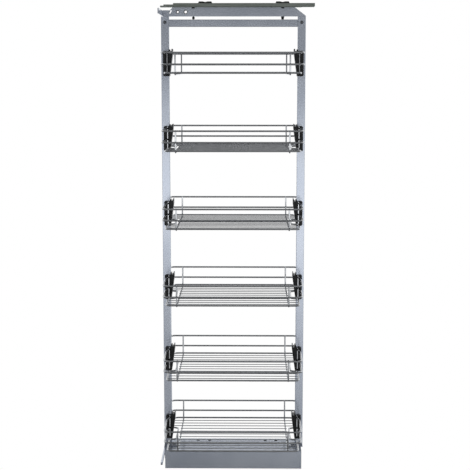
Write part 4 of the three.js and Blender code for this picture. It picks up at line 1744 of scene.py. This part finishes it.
@dataclass(frozen=True)
class DoorBrackets:
    """The bars that the cabinet's door is screwed to, with the countersunk bolts that hold them.

    The bottom bar stands on a plate that is bolted to the front post.
    """

    screw_y: float = 184.0
    screw_hole: float = 5.5
    bolt: Screw = Screw(11, 2.5, 6, 7.7, Drive.HEXAGON, countersunk=True)
    seat_depth: float = 8.0
    seat_play: Flat = (0.3, 0.75)
    end_radius: float = 3.0
    bar_height: float = 9.0
    plate: float = 3.7
    plate_half_width: float = 30.0
    plate_drop: float = 0.5
    edge: float = 0.5

    def bolt_seat(self, face: float, z: float) -> Thing:
        """Makes the cutter of the hole and the seat for a bolt behind a face that looks to -X.

        Args:
            face: the face's X.
            z: the bolt's height.

        Returns:
            The cutter.
        """
        narrow, wide = self.bolt.shank / 2 + self.seat_play[0], self.bolt.head / 2 + self.seat_play[1]
        profile = [(0, -self.seat_depth), (narrow, -self.seat_depth), (narrow, narrow - wide)]
        profile += [(wide, 0), (wide + PAST, PAST), (0, PAST)]
        return moved(turned("seat", profile), facing((face, 0, z), (-1, 0, 0)))

    def bar(self, name: str, x: Flat, z: Flat) -> Thing:
        """Makes a flat bar along Y with rounded ends and its two door screw holes.

        Args:
            name: the object's name.
            x: its limits along X.
            z: its limits along Z.

        Returns:
            The bar, with sharp edges.
        """
        reach = node_box("door_bracket_top")[1].y
        middle, tall = (z[0] + z[1]) / 2, z[1] - z[0]
        outline = rounded_rectangle(2 * reach, tall, min(self.end_radius, tall / 3))
        bar = prism(name, [(y, middle + v) for y, v in outline], "x", *x)
        front, rear = x[0] - PAST, x[1] + PAST
        places = -self.screw_y, self.screw_y
        return carve(bar, [rod(self.screw_hole, (front, y, middle), (rear, y, middle)) for y in places])

    def build(self, shop: Workshop) -> None:
        """Makes both brackets and their bolts.

        Args:
            shop: the workshop.
        """
        for place, body in (("top", "head"), ("bottom", "frame")):
            low, high, _ = node_box(f"door_bracket_{place}")
            bolt_low, _, bolt_mid = node_box(f"bracket_bolt_{place}")
            face, foot, plates = low.x, low.z, []
            if place == "bottom":
                face, foot = high.x - self.plate, high.z - self.bar_height
                sides = -self.plate_half_width, self.plate_half_width
                plates.append(block((face, high.x), sides, (low.z, high.z - self.plate_drop)))
            bar = carve(self.bar(f"door_bar_{place}", (low.x, high.x), (foot, high.z)), plates, join=True)
            carve(bar, [self.bolt_seat(face, bolt_mid.z)])
            shop.deliver(soften(bar, self.edge), body, Slot.PAINT, f"door_bracket_{place}")
            at = facing((bolt_low.x, 0, bolt_mid.z), (-1, 0, 0))
            bolt = moved(self.bolt.build(f"countersunk_bolt_{place}"), at)
            shop.deliver(bolt, body, Slot.STEEL, f"bracket_bolt_{place}")


# ---------------------------------------------------------------- studio


@dataclass(frozen=True)
class Lamp:
    """A soft rectangular light that hangs at a point and looks at another, in millimetres."""

    name: str
    place: Point
    target: Point
    width: float
    height: float
    power: float


@dataclass(frozen=True)
class Studio:
    """The photograph's studio: a white page behind the unit, and a dark room in front of it.

    The camera sees only the white page and floor. What shines sees the page behind, a dark room with pale
    sides and a pale ceiling, and in front a bright band just below the camera's height, which lights the
    posts half way up, with a paler one under it.
    """

    focal_px: float = 1183.0
    frame_px: float = 470.0
    sensor_mm: float = 36.0
    camera: Point = (50.6, -4150.0, 1420.0)
    camera_reach: float = 50.0  # metres
    tilt_deg: float = 8.035
    yaw_deg: float = 0.62
    floor_mm: float = 12000.0
    floor_gap: float = 2.0
    page_light: float = 1.0
    room_light: float = 0.04
    side_light: float = 0.35
    ceiling_light: float = 0.2
    band_light: float = 1.7
    tint: Colour = (0.98, 0.99, 1.0, 1.0)
    # Each edge is a fade from its first sine to its second: the page's by the angle behind the unit and by
    # height, the room's by the angle in front, its sides' by the angle across, and its ceiling's by height.
    page_edge: Flat = (0.15, 0.4)
    page_bottom: Flat = (-0.45, -0.35)
    page_top: Flat = (0.9, 0.75)
    room_edge: Flat = (-0.2, -0.5)
    side_edge: Flat = (0.8, 0.95)
    ceiling_edge: Flat = (0.75, 0.95)
    # The band in front: the sine of height, and the share of the band's light on the unit's left and on its
    # right. Its edge, where the left one fades to the right one, is by the angle across.
    band_edge: Flat = (-0.06, 0.03)
    band: tuple[Point, ...] = (
        (-0.5, 0.0, 0.0), (-0.36, 0.0, 0.0), (-0.33, 0.05, 0.05), (-0.3, 0.4, 0.5), (-0.26, 0.3, 0.4),
        (-0.21, 0.12, 0.5), (-0.17, 0.45, 0.95), (-0.14, 0.75, 1.0), (-0.11, 1.15, 1.15),
        (-0.07, 1.15, 1.1), (-0.05, 0.45, 0.35), (-0.02, 0.45, 0.45), (-0.005, 0.12, 0.12),
        (0.01, 0.02, 0.02), (0.04, 0.05, 0.05), (0.06, 0.24, 0.24), (0.15, 0.12, 0.12), (0.2, 0.02, 0.02),
    )
    lamps: tuple[Lamp, ...] = (
        Lamp("key", (-2400, -3200, 2600), (0, 0, 900), 1600, 2400, 45),
        Lamp("fill", (2800, -2600, 1800), (0, 0, 800), 1600, 2400, 45),
        Lamp("top", (0, -300, 3600), (0, 0, 0), 2500, 2500, 40),
    )

    def build(self) -> None:
        """Makes the floor, the camera, the lamps and the world."""
        self.add_floor()
        self.add_camera()
        self.add_lamps()
        self.add_world()
        view = bpy.context.scene.view_settings
        view.view_transform = "Standard"
        view.look = "None"

    def add_floor(self) -> None:
        """Lays a plain white floor just under the unit, as evenly lit as the page that it runs into."""
        half, z = self.floor_mm / 2, -self.floor_gap
        corners = [(-half, -half, z), (half, -half, z), (half, half, z), (-half, half, z)]
        floor = mesh_object("studio_floor", corners, [[0, 1, 2, 3]])
        surface = {"Base Color": BLACK, "Specular IOR Level": 0.0}
        surface |= {"Emission Color": WHITE, "Emission Strength": self.page_light}
        floor.data.materials.append(finish_material(start_material("white_paper")[0], surface))
        floor.visible_diffuse = False
        floor.visible_glossy = False

    def add_camera(self) -> None:
        """Places the camera that sees the unit as the photograph does."""
        data = bpy.data.cameras.new("camera")
        data.sensor_width = self.sensor_mm
        data.sensor_fit = "HORIZONTAL"
        data.lens = self.focal_px * self.sensor_mm / self.frame_px
        data.clip_end = self.camera_reach
        camera = bpy.data.objects.new("camera", data)
        camera.location = Vector(self.camera) * MM
        camera.rotation_euler = (math.radians(90 - self.tilt_deg), 0, math.radians(self.yaw_deg))
        bpy.context.scene.collection.objects.link(camera)
        bpy.context.scene.camera = camera

    def add_lamps(self) -> None:
        """Hangs the soft lamps, which nothing mirrors."""
        for lamp in self.lamps:
            data = bpy.data.lights.new(lamp.name, "AREA")
            data.shape = "RECTANGLE"
            data.size = lamp.width * MM
            data.size_y = lamp.height * MM
            data.energy = lamp.power
            hung = bpy.data.objects.new(lamp.name, data)
            hung.location = Vector(lamp.place) * MM
            gaze = (Vector(lamp.target) - Vector(lamp.place)).to_track_quat("-Z", "Y")
            hung.rotation_euler = gaze.to_euler()
            hung.visible_camera = False
            hung.visible_glossy = False
            bpy.context.scene.collection.objects.link(hung)

    def add_world(self) -> None:
        """Lights the camera's white page, and for all else a page behind and a dark room in front."""
        world = bpy.data.worlds.new("studio_room")
        world.use_nodes = True
        world.node_tree.nodes.clear()
        add = partial(add_node, world.node_tree)
        seen = add("ShaderNodeLightPath").outputs["Is Camera Ray"]
        direction = add("ShaderNodeTexCoord").outputs["Generated"]
        x, y, z = add("ShaderNodeSeparateXYZ", {"Vector": direction}).outputs
        sideways = add("ShaderNodeMath", {0: x}, operation="ABSOLUTE").outputs[0]
        page: float | Socket = 1.0
        for value, edge in ((y, self.page_edge), (z, self.page_bottom), (z, self.page_top)):
            page = add("ShaderNodeMapRange", span(value, *edge, 0.0, page)).outputs["Result"]
        left, right = (self.add_band(add, z, side) for side in (1, 2))
        glow = add("ShaderNodeMapRange", span(x, *self.band_edge, left, right)).outputs["Result"]
        light = add("ShaderNodeMapRange", span(y, *self.room_edge, self.room_light, glow)).outputs["Result"]
        sides = sideways, self.side_edge, self.side_light
        ceiling = z, self.ceiling_edge, self.ceiling_light
        for value, edge, strength in (sides, ceiling, (page, (0.0, 1.0), self.page_light)):
            light = add("ShaderNodeMapRange", span(value, *edge, light, strength)).outputs["Result"]
        room = add("ShaderNodeBackground", {"Color": self.tint, "Strength": light}).outputs[0]
        white = add("ShaderNodeBackground", {"Color": WHITE, "Strength": 1.0}).outputs[0]
        mix = add("ShaderNodeMixShader", {0: seen, 1: room, 2: white})
        add("ShaderNodeOutputWorld", {"Surface": mix.outputs[0]})
        bpy.context.scene.world = world

    def add_band(self, add: partial, height: Socket, side: int) -> Socket:
        """Adds the bright band's light by the sine of height.

        Args:
            add: adds a node to the world's tree.
            height: the socket of the sine of height.
            side: 1 for the unit's left or 2 for its right, as in the band's table.

        Returns:
            The light's socket.
        """
        ramp_stops = [((row[0] + 1) / 2, (*[row[side]] * 3, 1.0)) for row in self.band]
        along = add("ShaderNodeMapRange", span(height, -1.0, 1.0)).outputs["Result"]
        ramp = add("ShaderNodeValToRGB", {"Fac": along}, ramp_stops).outputs["Color"]
        light = span(ramp, 0.0, 1.0, self.room_light, self.band_light)
        return add("ShaderNodeMapRange", light).outputs["Result"]


def main() -> None:
    """Builds the unit round the frame."""
    logging.basicConfig(level=logging.INFO, format="%(name)s: %(message)s")
    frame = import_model()
    Studio().build()
    shop = Workshop(frame)
    slides = tray_slide(Side.NEAR), tray_slide(Side.FAR)
    for part in (FloorTray(), *slides, MovingFrame(), BasketSet(), Head(), TopSlide(), DoorBrackets()):
        log.info("making %s", type(part).__name__)
        part.build(shop)


if __name__ == "__main__":
    main()
